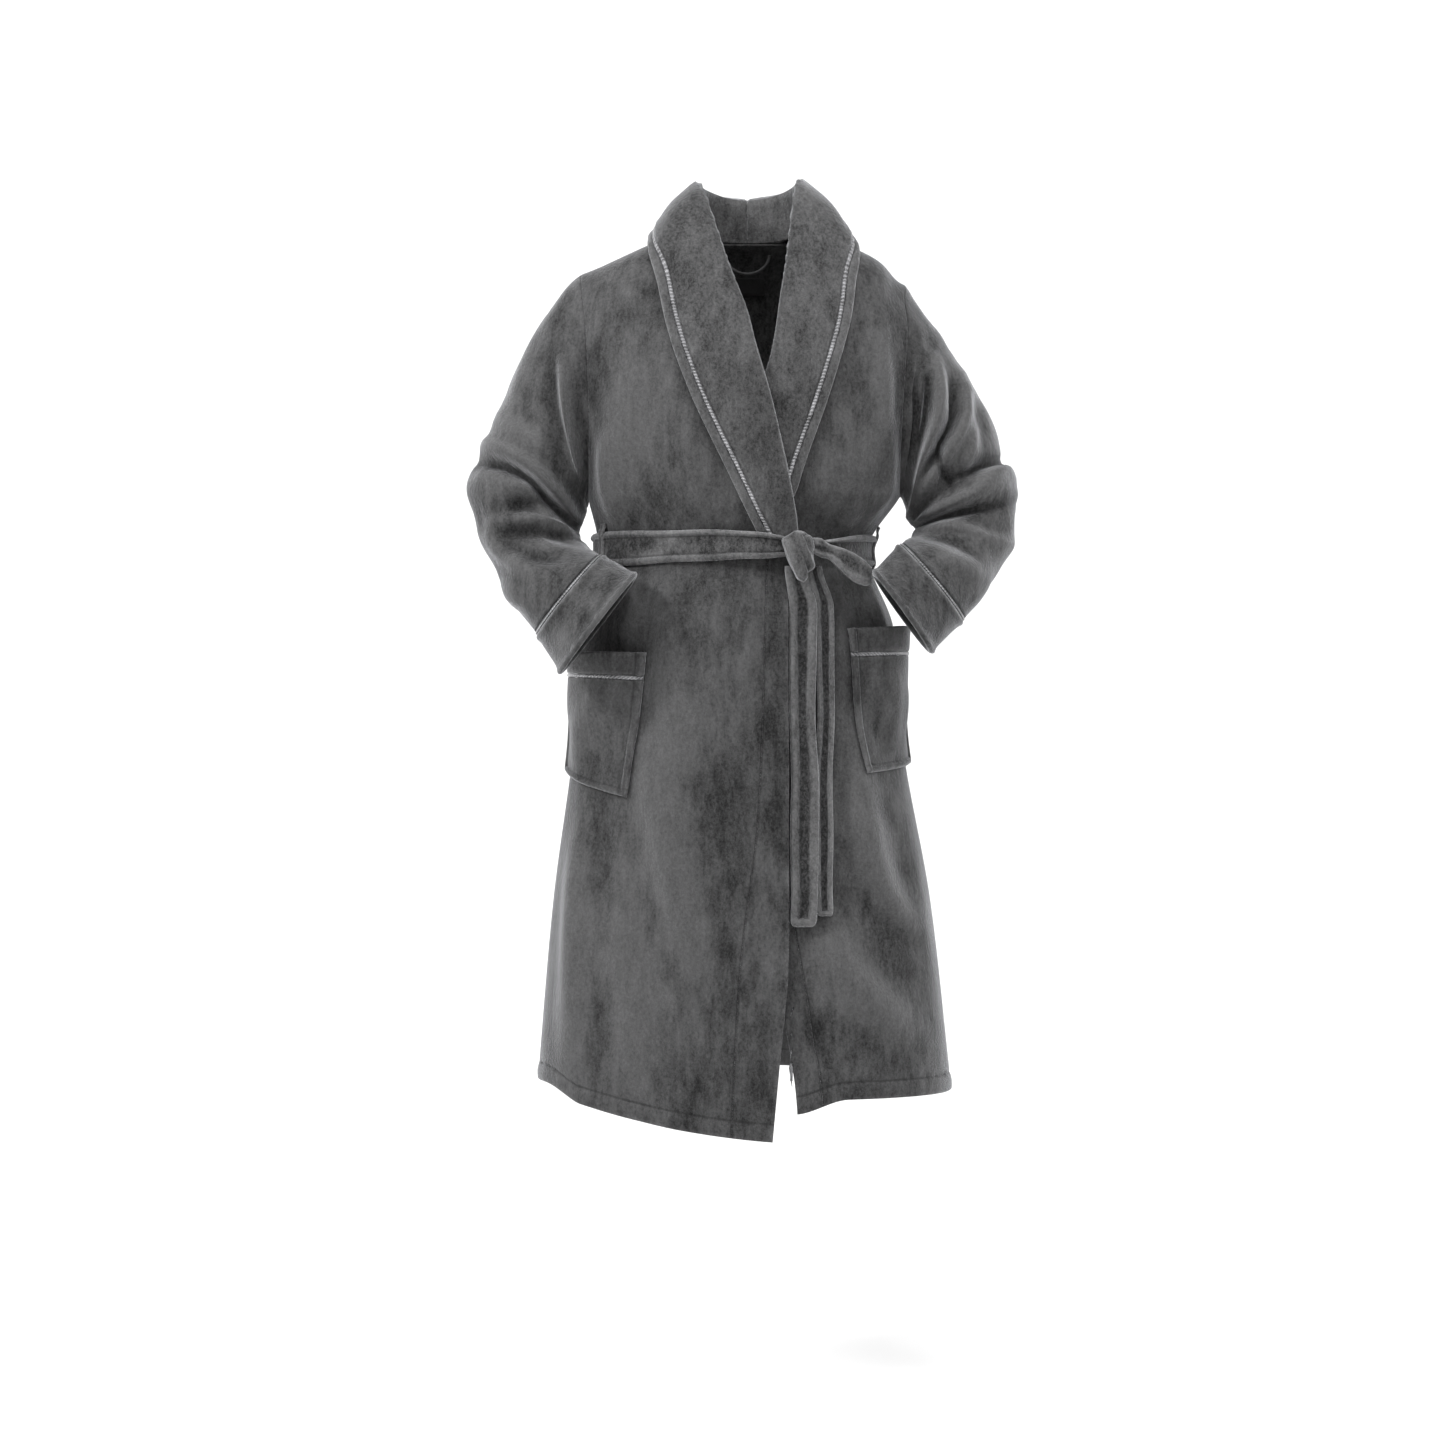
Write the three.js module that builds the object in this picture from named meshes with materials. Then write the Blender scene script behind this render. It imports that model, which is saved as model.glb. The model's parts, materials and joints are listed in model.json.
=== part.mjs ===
// A knee-length wrap-over bathrobe in the shape it has when worn: shawl collar with satin piping,
// set-in sleeves with turned cuffs, patch pockets and a tie belt. Units are millimetres.
// +Z is up, +X is the wearer's left and -Y is the front. The origin is on the middle line of the neck,
// just under the neck ends of the shoulder seams, where the wearer's neck and shoulders carry the robe.
// Every piece is a closed sheet of cloth: a grid of points on its inner face, thickened outwards.
import * as THREE from "three";

// Cloth and clearances
const CLOTH = 4; // one layer of plush with its pile
const COLLAR_CLOTH = 5; // the collar is double
const PIPING = 5; // width of the satin piping
const PIPING_PROUD = 0.8; // the piping's extra thickness
const SEAM = 0.4; // gap between two pieces sewn edge to edge
const LAY = 1.4; // gap between two pieces that lie on each other

// Body: height of each level and its girth
const NECK_Z = 5;
const ROBE_LENGTH = 1142; // neck end of the shoulder seam to the hem at the side
const ARMPIT_Z = -352;
const SHOULDER_Z = -60;
const BELT_Z = -425;
const HEM_Z = NECK_Z - ROBE_LENGTH;
const HEM_DROP = 69; // the wrap-over front hangs lower at its corner
const HEM_DROP_FROM = -70; // across, towards the wearer's right, where that drop begins to lessen
const HEM_DROP_TO = 272; // and where it has gone, at the side seam
const HEM_SIDE_CURVE = 52; // width of the rounded corner beside the side seam
const UNDER_DROP = 14; // and the under front a little lower than the side, most at its own corner
const UNDER_CORNER_DROP = 18;
const HEM_DROP_LEVEL = 0.35; // share of the skirt's height in which the hem's drop dies out
const RIGHT_FRONT_END = 56; // across, where the wrap-over front ends at the hem
const HEM_HALF_WIDTH = 275;
const WAIST_HALF_WIDTH = 178;
const CHEST_HALF_WIDTH = 207;
const SHOULDER_HALF_WIDTH = 222;
const NECK_HALF_WIDTH = 80;
const NECK_BACK_DEPTH = 58;
const CHEST_DEPTH = 128;
const ARMHOLE_DEPTH = 66; // half the armhole's width, front to back
const ARMHOLE_HOLLOW = 6; // how far the armhole curves in towards the chest
const SQUARENESS = 2.3; // exponent of the body's oval sections
const SHOULDER_RISE = NECK_Z - SHOULDER_Z;

// Overlap of the two fronts
const OVERLAP_LIFT = 14; // the wrap-over front stands this far outside the under front
const LIFT_FROM = -150; // across, where the wrap-over front starts to stand off
const LIFT_TO = -85;
const LIFT_TOP_Z = -90; // the fronts no longer overlap here, and the wrap-over front lies on the body
const LIFT_FULL_Z = -200;

// Belt
const BELT_WIDTH = 44.5;
const BELT_CLOTH = 7;
const BELT_LIFT = 5.5; // the belt's inner face above one layer of cloth
const KNOT_X = 67.5;
const KNOT_HALF_WIDTH = 18.5;
const KNOT_HALF_HEIGHT = 38;
const KNOT_DEPTH = 38;
const TAIL_TOP_Z = -478.8;
const TAILS = {
  belt_tail_right: { x: 72, width: 32, length: 446 },
  belt_tail_left: { x: 99, width: 19, length: 432 },
};
const TAIL_CLOTH = 10;
const TAIL_STAND = 4; // the tails hang this far in front of the skirt

// Front edges, as [height, across]: where each front ends, and where its facing band is sewn on
const skirtZ = (share) => BELT_Z + share * (HEM_Z - BELT_Z);
const RIGHT_EDGE = [
  [skirtZ(1.1), 30], [skirtZ(0.93), 41], [skirtZ(0.78), 50], [skirtZ(0.5), 51],
  [skirtZ(0.1), 50], [BELT_Z, 55], [-371, 52], [-273, 32], [-223, 20], [-166, 3],
  [-105, -12], [-60, -34], [-25, -62], [NECK_Z, -NECK_HALF_WIDTH],
];
const LEFT_EDGE = [
  [skirtZ(1.1), 66], [skirtZ(0.97), 58], [skirtZ(0.5), 0], [BELT_Z, -60], [-330, -35],
  [-273, -8], [-220, 20], [-186, 34], [-143, 42], [-72, 53], [-30, 68], [NECK_Z, NECK_HALF_WIDTH],
];
const BAND_SEAM = [[skirtZ(1.1), -23], [skirtZ(0.78), -11], [skirtZ(0.5), 12], [BELT_Z, 24]];
const LEFT_BAND_WIDTH = 34;
const FLAP_TOP_Z = BELT_Z - 107; // where the opening corner of the wrap-over front begins
const FOLD_LINE = [[skirtZ(1.1), -124], [FLAP_TOP_Z, 20]]; // the line along which it turns back

// Collar: the roll line is the front edge; the outer edge lies on the shoulders and the fronts
const COLLAR_END_Z = -436;
const COLLAR_TUCK = 5; // the fronts end this far inside the roll line, under the collar
const COLLAR_EDGE_WIDTH = 14; // strip outside the piping
const LAPEL_TOP_Z = -84;
const RIGHT_OUTER = [
  [COLLAR_END_Z, 22], [-401, 9], [-288, -46], [-236, -70], [-143, -104], [-66, -121],
];
const LEFT_OUTER = [
  [COLLAR_END_Z, 6], [-369, 55], [-309, 76], [-244, 99], [-182, 118], [-127, 133], [-66, 141],
];

// Arms: each station has the sleeve's outer and inner side point, its middle's place front to back
// and half its width front to back. The last station of each list is the sleeve's end.
const ARM_STATIONS = {
  right: [
    [262, -106, 216, -366, 4, 74], [302, -178, 224, -378, 8, 78], [343, -262, 231, -390, 10, 78],
    [375, -340, 233, -402, 6, 78], [352, -420, 228, -414, -12, 74], [320, -484, 215, -426, -52, 70],
    [279, -535, 200, -439, -90, 64],
  ],
  left: [
    [240, -110, 212, -364, 4, 74], [280, -182, 222, -374, 8, 78], [325, -268, 230, -384, 10, 78],
    [362, -350, 232, -396, 6, 78], [353, -416, 227, -405, -12, 74], [322, -472, 219, -414, -52, 70],
    [284, -517, 206, -424, -90, 64],
  ],
};
const CUFF_ENDS = { right: [240, -590, 149, -472, -152, 54], left: [233, -563, 164, -468, -152, 54] };
const ARMHOLE_CREASE = 7; // how far the sleeve stands off the seam before it turns down

// Pockets, placed by turn round the body in degrees and by height
const POCKET_HEIGHT = 190;
const POCKETS = {
  right: { front: 33.5, back: 88, top: -567, lean: 5.5, backRise: 34 },
  left: { front: 42, back: 89, top: -536, lean: 4, backRise: 12 },
};
const POCKET_BAND_SHARE = 0.19; // of the pocket's height
const POCKET_OPENING = 24; // how far the mouth stands open
const POCKET_LAY = CLOTH + LAY;

const CLOTH_GREY = 0x4b4b4d;
const BELT_GREY = 0x565658;
const SATIN_GREY = 0x8c8c90;

const robe = new THREE.Group();

const lerp = THREE.MathUtils.lerp;
const smoothstep = THREE.MathUtils.smoothstep;
const clamp = THREE.MathUtils.clamp;
const vec = (x, y, z) => new THREE.Vector3(x, y, z);

// Value on a list of [position, ...values], smooth between its entries.
function along(list, at) {
  const keys = list[0][0] < list.at(-1)[0] ? list : [...list].reverse();
  const x = clamp(at, keys[0][0], keys.at(-1)[0]);
  let k = keys.findIndex((key, i) => i > 0 && x <= key[0]);
  if (k < 1) k = 1;
  const slope = (i, n) => {
    const a = keys[Math.max(i - 1, 0)];
    const b = keys[Math.min(i + 1, keys.length - 1)];
    return (b[n] - a[n]) / (b[0] - a[0]);
  };
  const [p, q] = [keys[k - 1], keys[k]];
  const span = q[0] - p[0];
  const f = (x - p[0]) / span;
  const values = p.slice(1).map((_, m) => {
    const n = m + 1;
    return (2 * f ** 3 - 3 * f ** 2 + 1) * p[n] + (f ** 3 - 2 * f ** 2 + f) * span * slope(k - 1, n)
      + (3 * f ** 2 - 2 * f ** 3) * q[n] + (f ** 3 - f ** 2) * span * slope(k, n);
  });
  return values.length === 1 ? values[0] : values;
}

// Body oval at each height: middle across, half width, depth to the front, depth to the back
const BODY = [
  [HEM_Z, -4, HEM_HALF_WIDTH, 160, 150], [skirtZ(0.66), -8, 250, 148, 140],
  [skirtZ(0.37), -13, 218, 138, 135], [skirtZ(0.15), -14, 207, 128, 127],
  [BELT_Z, -20, WAIST_HALF_WIDTH, 106, 102], [ARMPIT_Z, -5, CHEST_HALF_WIDTH, 119, 112],
];

// One level of the body. Level 0 is the hem, 1 the armpit and 2 the shoulder seam. `half` is the oval's
// half width, and `reach` the turn at which the side seam or the armhole cuts it.
function level(s, back) {
  const z = lerp(HEM_Z, ARMPIT_Z, Math.min(s, 1));
  const [mid, half, front, rear] = along(BODY, z);
  if (s <= 1) return { z, t: 0, mid, half, depth: back ? rear : front, reach: Math.PI / 2, arm: half };
  const t = Math.min(s - 1, 0.9995);
  const arch = Math.sin(Math.PI * t);
  const up = (1 - Math.cos(Math.PI * t)) / 2;
  const depth = lerp(back ? rear : front, CHEST_DEPTH, 0.7 * arch) * Math.sqrt(1 - t ** 4);
  const arm = lerp(CHEST_HALF_WIDTH, SHOULDER_HALF_WIDTH, up) - ARMHOLE_HOLLOW * arch;
  const inset = Math.min(ARMHOLE_DEPTH * arch ** 0.8, 0.9 * depth);
  const oval = arm / (1 - (inset / depth) ** SQUARENESS) ** (1 / SQUARENESS);
  return {
    z: lerp(ARMPIT_Z, SHOULDER_Z, up), t, mid: mid * (1 - up), half: oval, depth,
    reach: Math.asin(Math.min(arm / oval, 1)), arm,
  };
}

// Height of a level at a place across: the shoulders rise to the neck, and the fronts drop at the hem.
function heightAt(row, s, x, back) {
  const out = Math.abs(x - row.mid);
  const rise = SHOULDER_RISE * row.t ** 2 * clamp((row.arm - out) / (row.arm - NECK_HALF_WIDTH), 0, 1);
  const low = smoothstep(HEM_DROP_LEVEL - s, 0, HEM_DROP_LEVEL);
  const away = clamp((-x - HEM_DROP_FROM) / (HEM_DROP_TO - HEM_DROP_FROM), 0, 1);
  const atSide = smoothstep(-x, HEM_DROP_TO - HEM_SIDE_CURVE, HEM_DROP_TO);
  const wrapOver = HEM_DROP * (1 - 0.85 * away ** 1.6) * (1 - atSide);
  const under = UNDER_DROP + UNDER_CORNER_DROP * smoothstep(-x, -130, -60);
  const drop = x < RIGHT_FRONT_END ? wrapOver : under;
  return row.z + rise - (back ? 0 : low * drop);
}

// Point of the body's inner face at a level and a turn (negative to the wearer's right).
function basePoint(s, turn, back) {
  const row = level(s, back);
  const sine = Math.sin(turn);
  const x = row.mid + row.half * sine;
  const y = row.depth * (1 - Math.abs(sine) ** SQUARENESS) ** (1 / SQUARENESS);
  return vec(x, back ? y : -y, heightAt(row, s, x, back));
}

function outward(s, turn, back) {
  const step = 0.004;
  const a = basePoint(Math.min(s + step, 1.995), turn, back);
  const b = basePoint(Math.max(s - step, 0), turn, back);
  const c = basePoint(s, turn + step, back);
  const d = basePoint(s, turn - step, back);
  const side = Math.abs(turn) > Math.PI / 2 - 2 * step;
  const n = a.sub(b).cross(side ? vec(0, 1, 0) : c.sub(d)).normalize();
  const at = basePoint(s, turn, back);
  if (n.dot(vec(at.x * 0.5, at.y, 60)) < 0) n.negate();
  return n;
}

// Point at a height above the body's inner face.
function skin(s, turn, lift, back = false) {
  return basePoint(s, turn, back).addScaledVector(outward(s, turn, back), lift);
}

const turnAt = (s, x, back = false) => {
  const row = level(s, back);
  return Math.asin(clamp((x - row.mid) / row.half, -1, 1));
};

// Point above the front at a place across and a height.
function onFront(x, z, lift, back = false) {
  let low = 0;
  let high = 1.995;
  for (let i = 0; i < 30; i++) {
    const s = (low + high) / 2;
    if (basePoint(s, turnAt(s, x, back), back).z < z) low = s;
    else high = s;
  }
  return skin(low, turnAt(low, x, back), lift, back);
}

// Extra lift of the wrap-over front where it lies on the under front.
const lap = (x, z) => OVERLAP_LIFT * smoothstep(x, LIFT_FROM, LIFT_TO) * smoothstep(-z, -LIFT_TOP_Z, -LIFT_FULL_Z);
const flat = () => 0;

// Closes two grids of points, an inner and an outer face, into one solid. A closed sheet is a tube.
function solidOf(name, inner, outer, colour, roughness, closed = false) {
  const rows = inner.length;
  const cols = inner[0].length;
  const points = [...inner.flat(), ...outer.flat()];
  const index = [];
  const id = (face, r, c) => face * rows * cols + r * cols + (c % cols);
  const quad = (a, b, c, d) => index.push(a, b, c, a, c, d);
  const across = closed ? cols : cols - 1;
  for (let r = 0; r < rows - 1; r++)
    for (let c = 0; c < across; c++) {
      quad(id(0, r, c), id(0, r, c + 1), id(0, r + 1, c + 1), id(0, r + 1, c));
      quad(id(1, r, c), id(1, r + 1, c), id(1, r + 1, c + 1), id(1, r, c + 1));
    }
  for (let c = 0; c < across; c++) {
    quad(id(0, 0, c), id(1, 0, c), id(1, 0, c + 1), id(0, 0, c + 1));
    quad(id(0, rows - 1, c), id(0, rows - 1, c + 1), id(1, rows - 1, c + 1), id(1, rows - 1, c));
  }
  for (let r = 0; r < rows - 1 && !closed; r++) {
    quad(id(0, r, 0), id(0, r + 1, 0), id(1, r + 1, 0), id(1, r, 0));
    quad(id(0, r, cols - 1), id(1, r, cols - 1), id(1, r + 1, cols - 1), id(0, r + 1, cols - 1));
  }
  const volume = new THREE.Vector3();
  let six = 0;
  for (let i = 0; i < index.length; i += 3)
    six += points[index[i]].dot(volume.crossVectors(points[index[i + 1]], points[index[i + 2]]));
  if (six < 0) index.reverse();
  const geometry = new THREE.BufferGeometry().setFromPoints(points);
  geometry.setIndex(index);
  geometry.computeVertexNormals();
  const material = new THREE.MeshStandardMaterial({ color: colour, roughness, metalness: 0 });
  const mesh = new THREE.Mesh(geometry, material);
  mesh.name = name;
  robe.add(mesh);
}

// Thickens a grid of points along its own normals. `away` is a point behind the sheet.
function thicken(name, grid, thickness, away, colour = CLOTH_GREY, roughness = 0.9, seamX = null) {
  const rows = grid.length;
  const cols = grid[0].length;
  const outer = grid.map((row, r) => row.map((p, c) => {
    const [up, down] = [grid[Math.min(r + 1, rows - 1)][c], grid[Math.max(r - 1, 0)][c]];
    const [next, last] = [row[Math.min(c + 1, cols - 1)], row[Math.max(c - 1, 0)]];
    const n = up.clone().sub(down).cross(next.clone().sub(last)).normalize();
    if (n.dot(p.clone().sub(away(p, r, c))) < 0) n.negate();
    if (r === 0 && seamX !== null) n.setX(0).normalize();
    return p.clone().addScaledVector(n, thickness);
  }));
  solidOf(name, grid, outer, colour, roughness);
}

const range = (n, f) => Array.from({ length: n + 1 }, (_, i) => f(i / n));

// A body panel between two lines across, on the levels given. `edges` gives both lines' turns.
function panel(name, levels, cols, edges, lift, back = false) {
  const half = SEAM / 2;
  const keep = (p) => {
    p.y = back ? Math.max(p.y, half) : Math.min(p.y, -half);
    return p;
  };
  const inner = [];
  const outer = [];
  for (const s of levels) {
    const [from, to] = edges(s);
    const turns = range(cols, (f) => lerp(from, to, f));
    const row = level(s, back);
    const point = (turn, extra) => {
      const p = basePoint(s, turn, back);
      const raised = lift(p.x, p.z) + extra;
      const n = outward(s, turn, back);
      const onSeam = s > 1.999 || Math.abs(Math.abs(turn) - Math.PI / 2) < 1e-4;
      if (s > 1.999) p.y = 0;
      if (onSeam) n.setY(0).normalize();
      return keep(p.addScaledVector(n, raised));
    };
    inner.push(turns.map((turn) => point(turn, 0)));
    outer.push(turns.map((turn) => point(turn, CLOTH)));
  }
  solidOf(name, inner, outer, CLOTH_GREY, 0.9);
}

const zOfLevel = (s, x) => basePoint(s, turnAt(s, x), false).z;

// Turn at which a level meets a line given as [height, across].
function turnOnLine(s, line) {
  let x = along(line, level(s, false).z);
  for (let i = 0; i < 6; i++) x = along(line, zOfLevel(s, x));
  return turnAt(s, x);
}

const SKIRT_ROWS = 8;
const ARMHOLE_ROWS = 8;
const beltLevel = (z) => (z - HEM_Z) / (ARMPIT_Z - HEM_Z);
const flapLevel = beltLevel(FLAP_TOP_Z);
const skirtLevels = range(SKIRT_ROWS, (f) => f * flapLevel);
const beltEdges = [-0.5, 0, 0.5].map((f) => BELT_Z + f * BELT_WIDTH);
const waistHeights = [BELT_Z - 62, BELT_Z - 36, ...beltEdges, lerp(beltEdges[2], ARMPIT_Z, 0.5), ARMPIT_Z];
const waistLevels = waistHeights.map(beltLevel);
const armholeShare = range(ARMHOLE_ROWS, (f) => Math.sin((f * Math.PI) / 2));
const upperLevels = armholeShare.slice(1).map((t) => 1 + t);
const allLevels = [...skirtLevels, ...waistLevels, ...upperLevels];
const bodyGap = (s) => SEAM / level(s, false).half;
const tuck = (s) => (COLLAR_TUCK * smoothstep(s, beltLevel(BELT_Z), 1)) / level(s, false).half;

function fronts() {
  const fold = flapLevel - 0.002;
  const rightLevels = [...skirtLevels.slice(0, -1), fold, flapLevel + 0.001,
    ...waistLevels, ...upperLevels];
  panel("right_front_panel", rightLevels, 12, (s) => {
    if (s <= fold) return [-level(s, false).reach, turnOnLine(s, FOLD_LINE) - bodyGap(s)];
    return [-level(s, false).reach, turnOnLine(s, RIGHT_EDGE) - tuck(s)];
  }, lap);
  const flapLevels = [...skirtLevels.slice(0, -1), flapLevel - 0.003];
  panel("right_front_flap", flapLevels, 6, (s) => [
    turnOnLine(s, FOLD_LINE) + bodyGap(s), turnOnLine(s, BAND_SEAM) - bodyGap(s) / 2,
  ], lap);
  panel("right_front_band", flapLevels, 3, (s) => [
    turnOnLine(s, BAND_SEAM) + bodyGap(s) / 2, turnOnLine(s, RIGHT_EDGE),
  ], lap);
  const leftBandSeam = LEFT_EDGE.map(([z, x]) => [z, x + LEFT_BAND_WIDTH]);
  const bandTop = [...skirtLevels, ...waistLevels.slice(0, 1)];
  const leftLevels = [...bandTop, bandTop.at(-1) + 0.006, ...waistLevels.slice(1), ...upperLevels];
  panel("left_front_panel", leftLevels, 12, (s) => [
    s <= bandTop.at(-1) ? turnOnLine(s, leftBandSeam) + bodyGap(s) / 2 : turnOnLine(s, LEFT_EDGE) + tuck(s),
    level(s, false).reach,
  ], flat);
  panel("left_front_band", bandTop, 3, (s) => [
    turnOnLine(s, LEFT_EDGE), turnOnLine(s, leftBandSeam) - bodyGap(s) / 2,
  ], flat);
}

// The back's top follows the neckline between the shoulder seams.
function back() {
  const cols = 20;
  const inner = [];
  const outer = [];
  const neckLevel = 1 + Math.pow(1 - (NECK_BACK_DEPTH / (CHEST_DEPTH - 10)) ** 2, 0.25);
  for (const s of allLevels) {
    const row = level(s, true);
    const points = range(cols, (f) => {
      const turn = lerp(-row.reach, row.reach, f);
      const x = row.mid + row.half * Math.sin(turn);
      const dip = smoothstep(NECK_HALF_WIDTH + 14 - Math.abs(x), 0, 40) * Math.max(s - 1, 0) ** 3;
      const here = lerp(s, Math.min(s, neckLevel), dip);
      return [here, turnAt(here, x, true), here > 1.999 || Math.abs(Math.abs(turn) - Math.PI / 2) < 1e-4];
    });
    const place = (extra) => points.map(([here, turn, onSeam]) => {
      const p = basePoint(here, turn, true);
      const n = outward(here, turn, true);
      if (here > 1.999) p.y = 0;
      if (onSeam) n.setY(0).normalize();
      p.addScaledVector(n, extra);
      p.y = Math.max(p.y, SEAM / 2);
      return p;
    });
    inner.push(place(0));
    outer.push(place(CLOTH));
  }
  solidOf("back_panel", inner, outer, CLOTH_GREY, 0.9);
}

fronts();
back();

// The armhole's edge, once round from the armpit up the front and down the back: the body panels' own
// inner and outer corner, each moved off the seam. `side` is 1 for the wearer's left.
function armhole(side, off, turnDown) {
  const ring = (back, share) => {
    const s = 1 + share;
    const row = level(s, back);
    const turn = side * row.reach;
    const p = basePoint(s, turn, back);
    const n = outward(s, turn, back);
    const ends = share === 0 || share === 1;
    if (share === 1) p.y = 0;
    if (ends) n.setY(0).normalize();
    const beyond = basePoint(s, turn + side * 0.02, back).sub(basePoint(s, turn, back)).normalize();
    if (ends) beyond.set(side * 0.9, 0, -0.43);
    const off0 = vec(side * 0.25, 0, 1).lerp(beyond, smoothstep(share, 0, 0.45)).normalize();
    p.addScaledVector(off0, off);
    const lean = vec(side * 0.75, 0, -0.66);
    const thick = n.clone().lerp(lean, turnDown * (1 - smoothstep(share, 0, 0.35))).normalize();
    return [p, p.clone().addScaledVector(thick, CLOTH)];
  };
  const front = armholeShare.map((t) => ring(false, t));
  const rear = armholeShare.slice(1, -1).reverse().map((t) => ring(true, t));
  return [...front, ...rear];
}

// Ring of a sleeve at a station. Its points start on the inner side and go round by the front.
function sleeveRing(side, [outX, outZ, inX, inZ, y, depth], spread, thickness) {
  const out = vec(side * outX, y, outZ);
  const near = vec(side * inX, y, inZ);
  const middle = out.clone().add(near).multiplyScalar(0.5);
  const along = out.clone().sub(near).multiplyScalar(0.5);
  const half = along.length();
  along.normalize();
  const angles = armholeShare.map((t, k) => Math.PI * lerp(t, k / ARMHOLE_ROWS, spread));
  const round = [...angles, ...angles.slice(1, -1).reverse().map((a) => 2 * Math.PI - a)];
  return round.map((a) => {
    const flat = vec(0, -Math.sin(a), 0);
    const p = middle.clone().addScaledVector(along, -Math.cos(a) * half).addScaledVector(flat, depth);
    const n = along.clone().multiplyScalar(-Math.cos(a) * depth).addScaledVector(flat, half).normalize();
    return [p, p.clone().addScaledVector(n, thickness)];
  });
}

const onRing = (a, b, f) => a.map((v, i) => lerp(v, b[i], f));

function sleeve(sideName) {
  const side = sideName === "left" ? 1 : -1;
  const stations = ARM_STATIONS[sideName];
  const curve = [];
  for (let k = 0; k < stations.length - 1; k++) {
    curve.push(stations[k], onRing(stations[k], stations[k + 1], 0.5));
  }
  curve.push(stations.at(-1));
  const rings = [armhole(side, SEAM, 0), armhole(side, ARMHOLE_CREASE, 1)];
  curve.forEach((station, k) => rings.push(
    sleeveRing(side, station, Math.min(1, (k + 1) / 4), CLOTH)));
  const end = CUFF_ENDS[sideName];
  tube(`${sideName}_sleeve`, rings, CLOTH_GREY, 0.9);
  const last = stations.at(-1);
  const length = vec(...midOf(last, side)).distanceTo(vec(...midOf(end, side)));
  const share = (mm) => onRing(last, end, mm / length);
  const cuffRing = (mm, extra) => sleeveRing(side, share(mm), 1, CLOTH + extra);
  const piped = [SEAM * 2, PIPING].map((mm) => cuffRing(mm, PIPING_PROUD));
  tube(`${sideName}_cuff_piping`, piped, SATIN_GREY, 0.35);
  const cuff = range(3, (f) => cuffRing(lerp(PIPING + SEAM * 2, length, f), CLOTH / 2));
  tube(`${sideName}_cuff`, cuff, CLOTH_GREY, 0.9);
}

const midOf = ([outX, outZ, inX, inZ, y], side) => [(side * (outX + inX)) / 2, y, (outZ + inZ) / 2];

const tube = (name, rings, colour, roughness) => solidOf(
  name, rings.map((ring) => ring.map((p) => p[0])), rings.map((ring) => ring.map((p) => p[1])),
  colour, roughness, true);

// Collar. Each section runs from the neck seam up the stand, over the roll and down the fall.
const COLLAR = {
  right: {
    side: -1, outer: RIGHT_OUTER, roll: RIGHT_EDGE, lift: lap,
    neck: [
      [[0, 64, -4], [0, 72, 56], [0, 104, -34]],
      [[-50, 55, -1], [-46, 62, 64], [-84, 94, -34]],
      [[-76, 22, 10], [-68, 24, 71], [-117, 50, -12]],
      [[-76, -14, 10], [-66, -14, 67], [-129, -18, -7]],
      [[-71, -50, 2], [-58, -52, 40], [-128, -66, -40]],
    ],
  },
  left: {
    side: 1, outer: LEFT_OUTER, roll: LEFT_EDGE, lift: flat,
    neck: [
      [[0, 64, -4], [0, 72, 56], [0, 104, -34]],
      [[50, 55, -1], [46, 62, 64], [86, 94, -30]],
      [[76, 22, 10], [69, 24, 72], [118, 50, -8]],
      [[77, -14, 10], [70, -14, 70], [136, -18, -8]],
      [[72, -50, 2], [66, -52, 50], [144, -66, -40]],
    ],
  },
};

function neckSection([foot, roll, hem], side) {
  const [a, r] = [vec(...foot), vec(...roll)];
  const o = hem[1] < -50 ? onFront(hem[0], hem[2], COLLAR_CLOTH + LAY) : vec(...hem);
  const out = o.clone().sub(a).setZ(0).normalize();
  const stand = a.clone().lerp(r, 0.5).addScaledVector(out, 1);
  const fall = r.clone().lerp(o, 0.5).addScaledVector(out, 7).add(vec(0, 0, 6));
  return [a, stand, r.clone().addScaledVector(out, -1).add(vec(0, 0, -7)), r,
    r.clone().addScaledVector(out, 7).add(vec(0, 0, -4)), fall, o];
}

function lapelSection(z, { side, outer, roll, lift }) {
  const edge = along(roll, z);
  const hem = along(outer, z);
  const at = (x, height) => onFront(x, z, lift(x, z) + height);
  const out = (mm) => edge + side * mm;
  return [at(out(-2.4), 0.6), at(out(-2.6), 2.6), at(out(-2), 4.8), at(out(1), 6.5),
    at(out(7), 7.6), at((edge + hem) / 2, 7.6), at(hem, CLOTH + LAY)];
}

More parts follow.
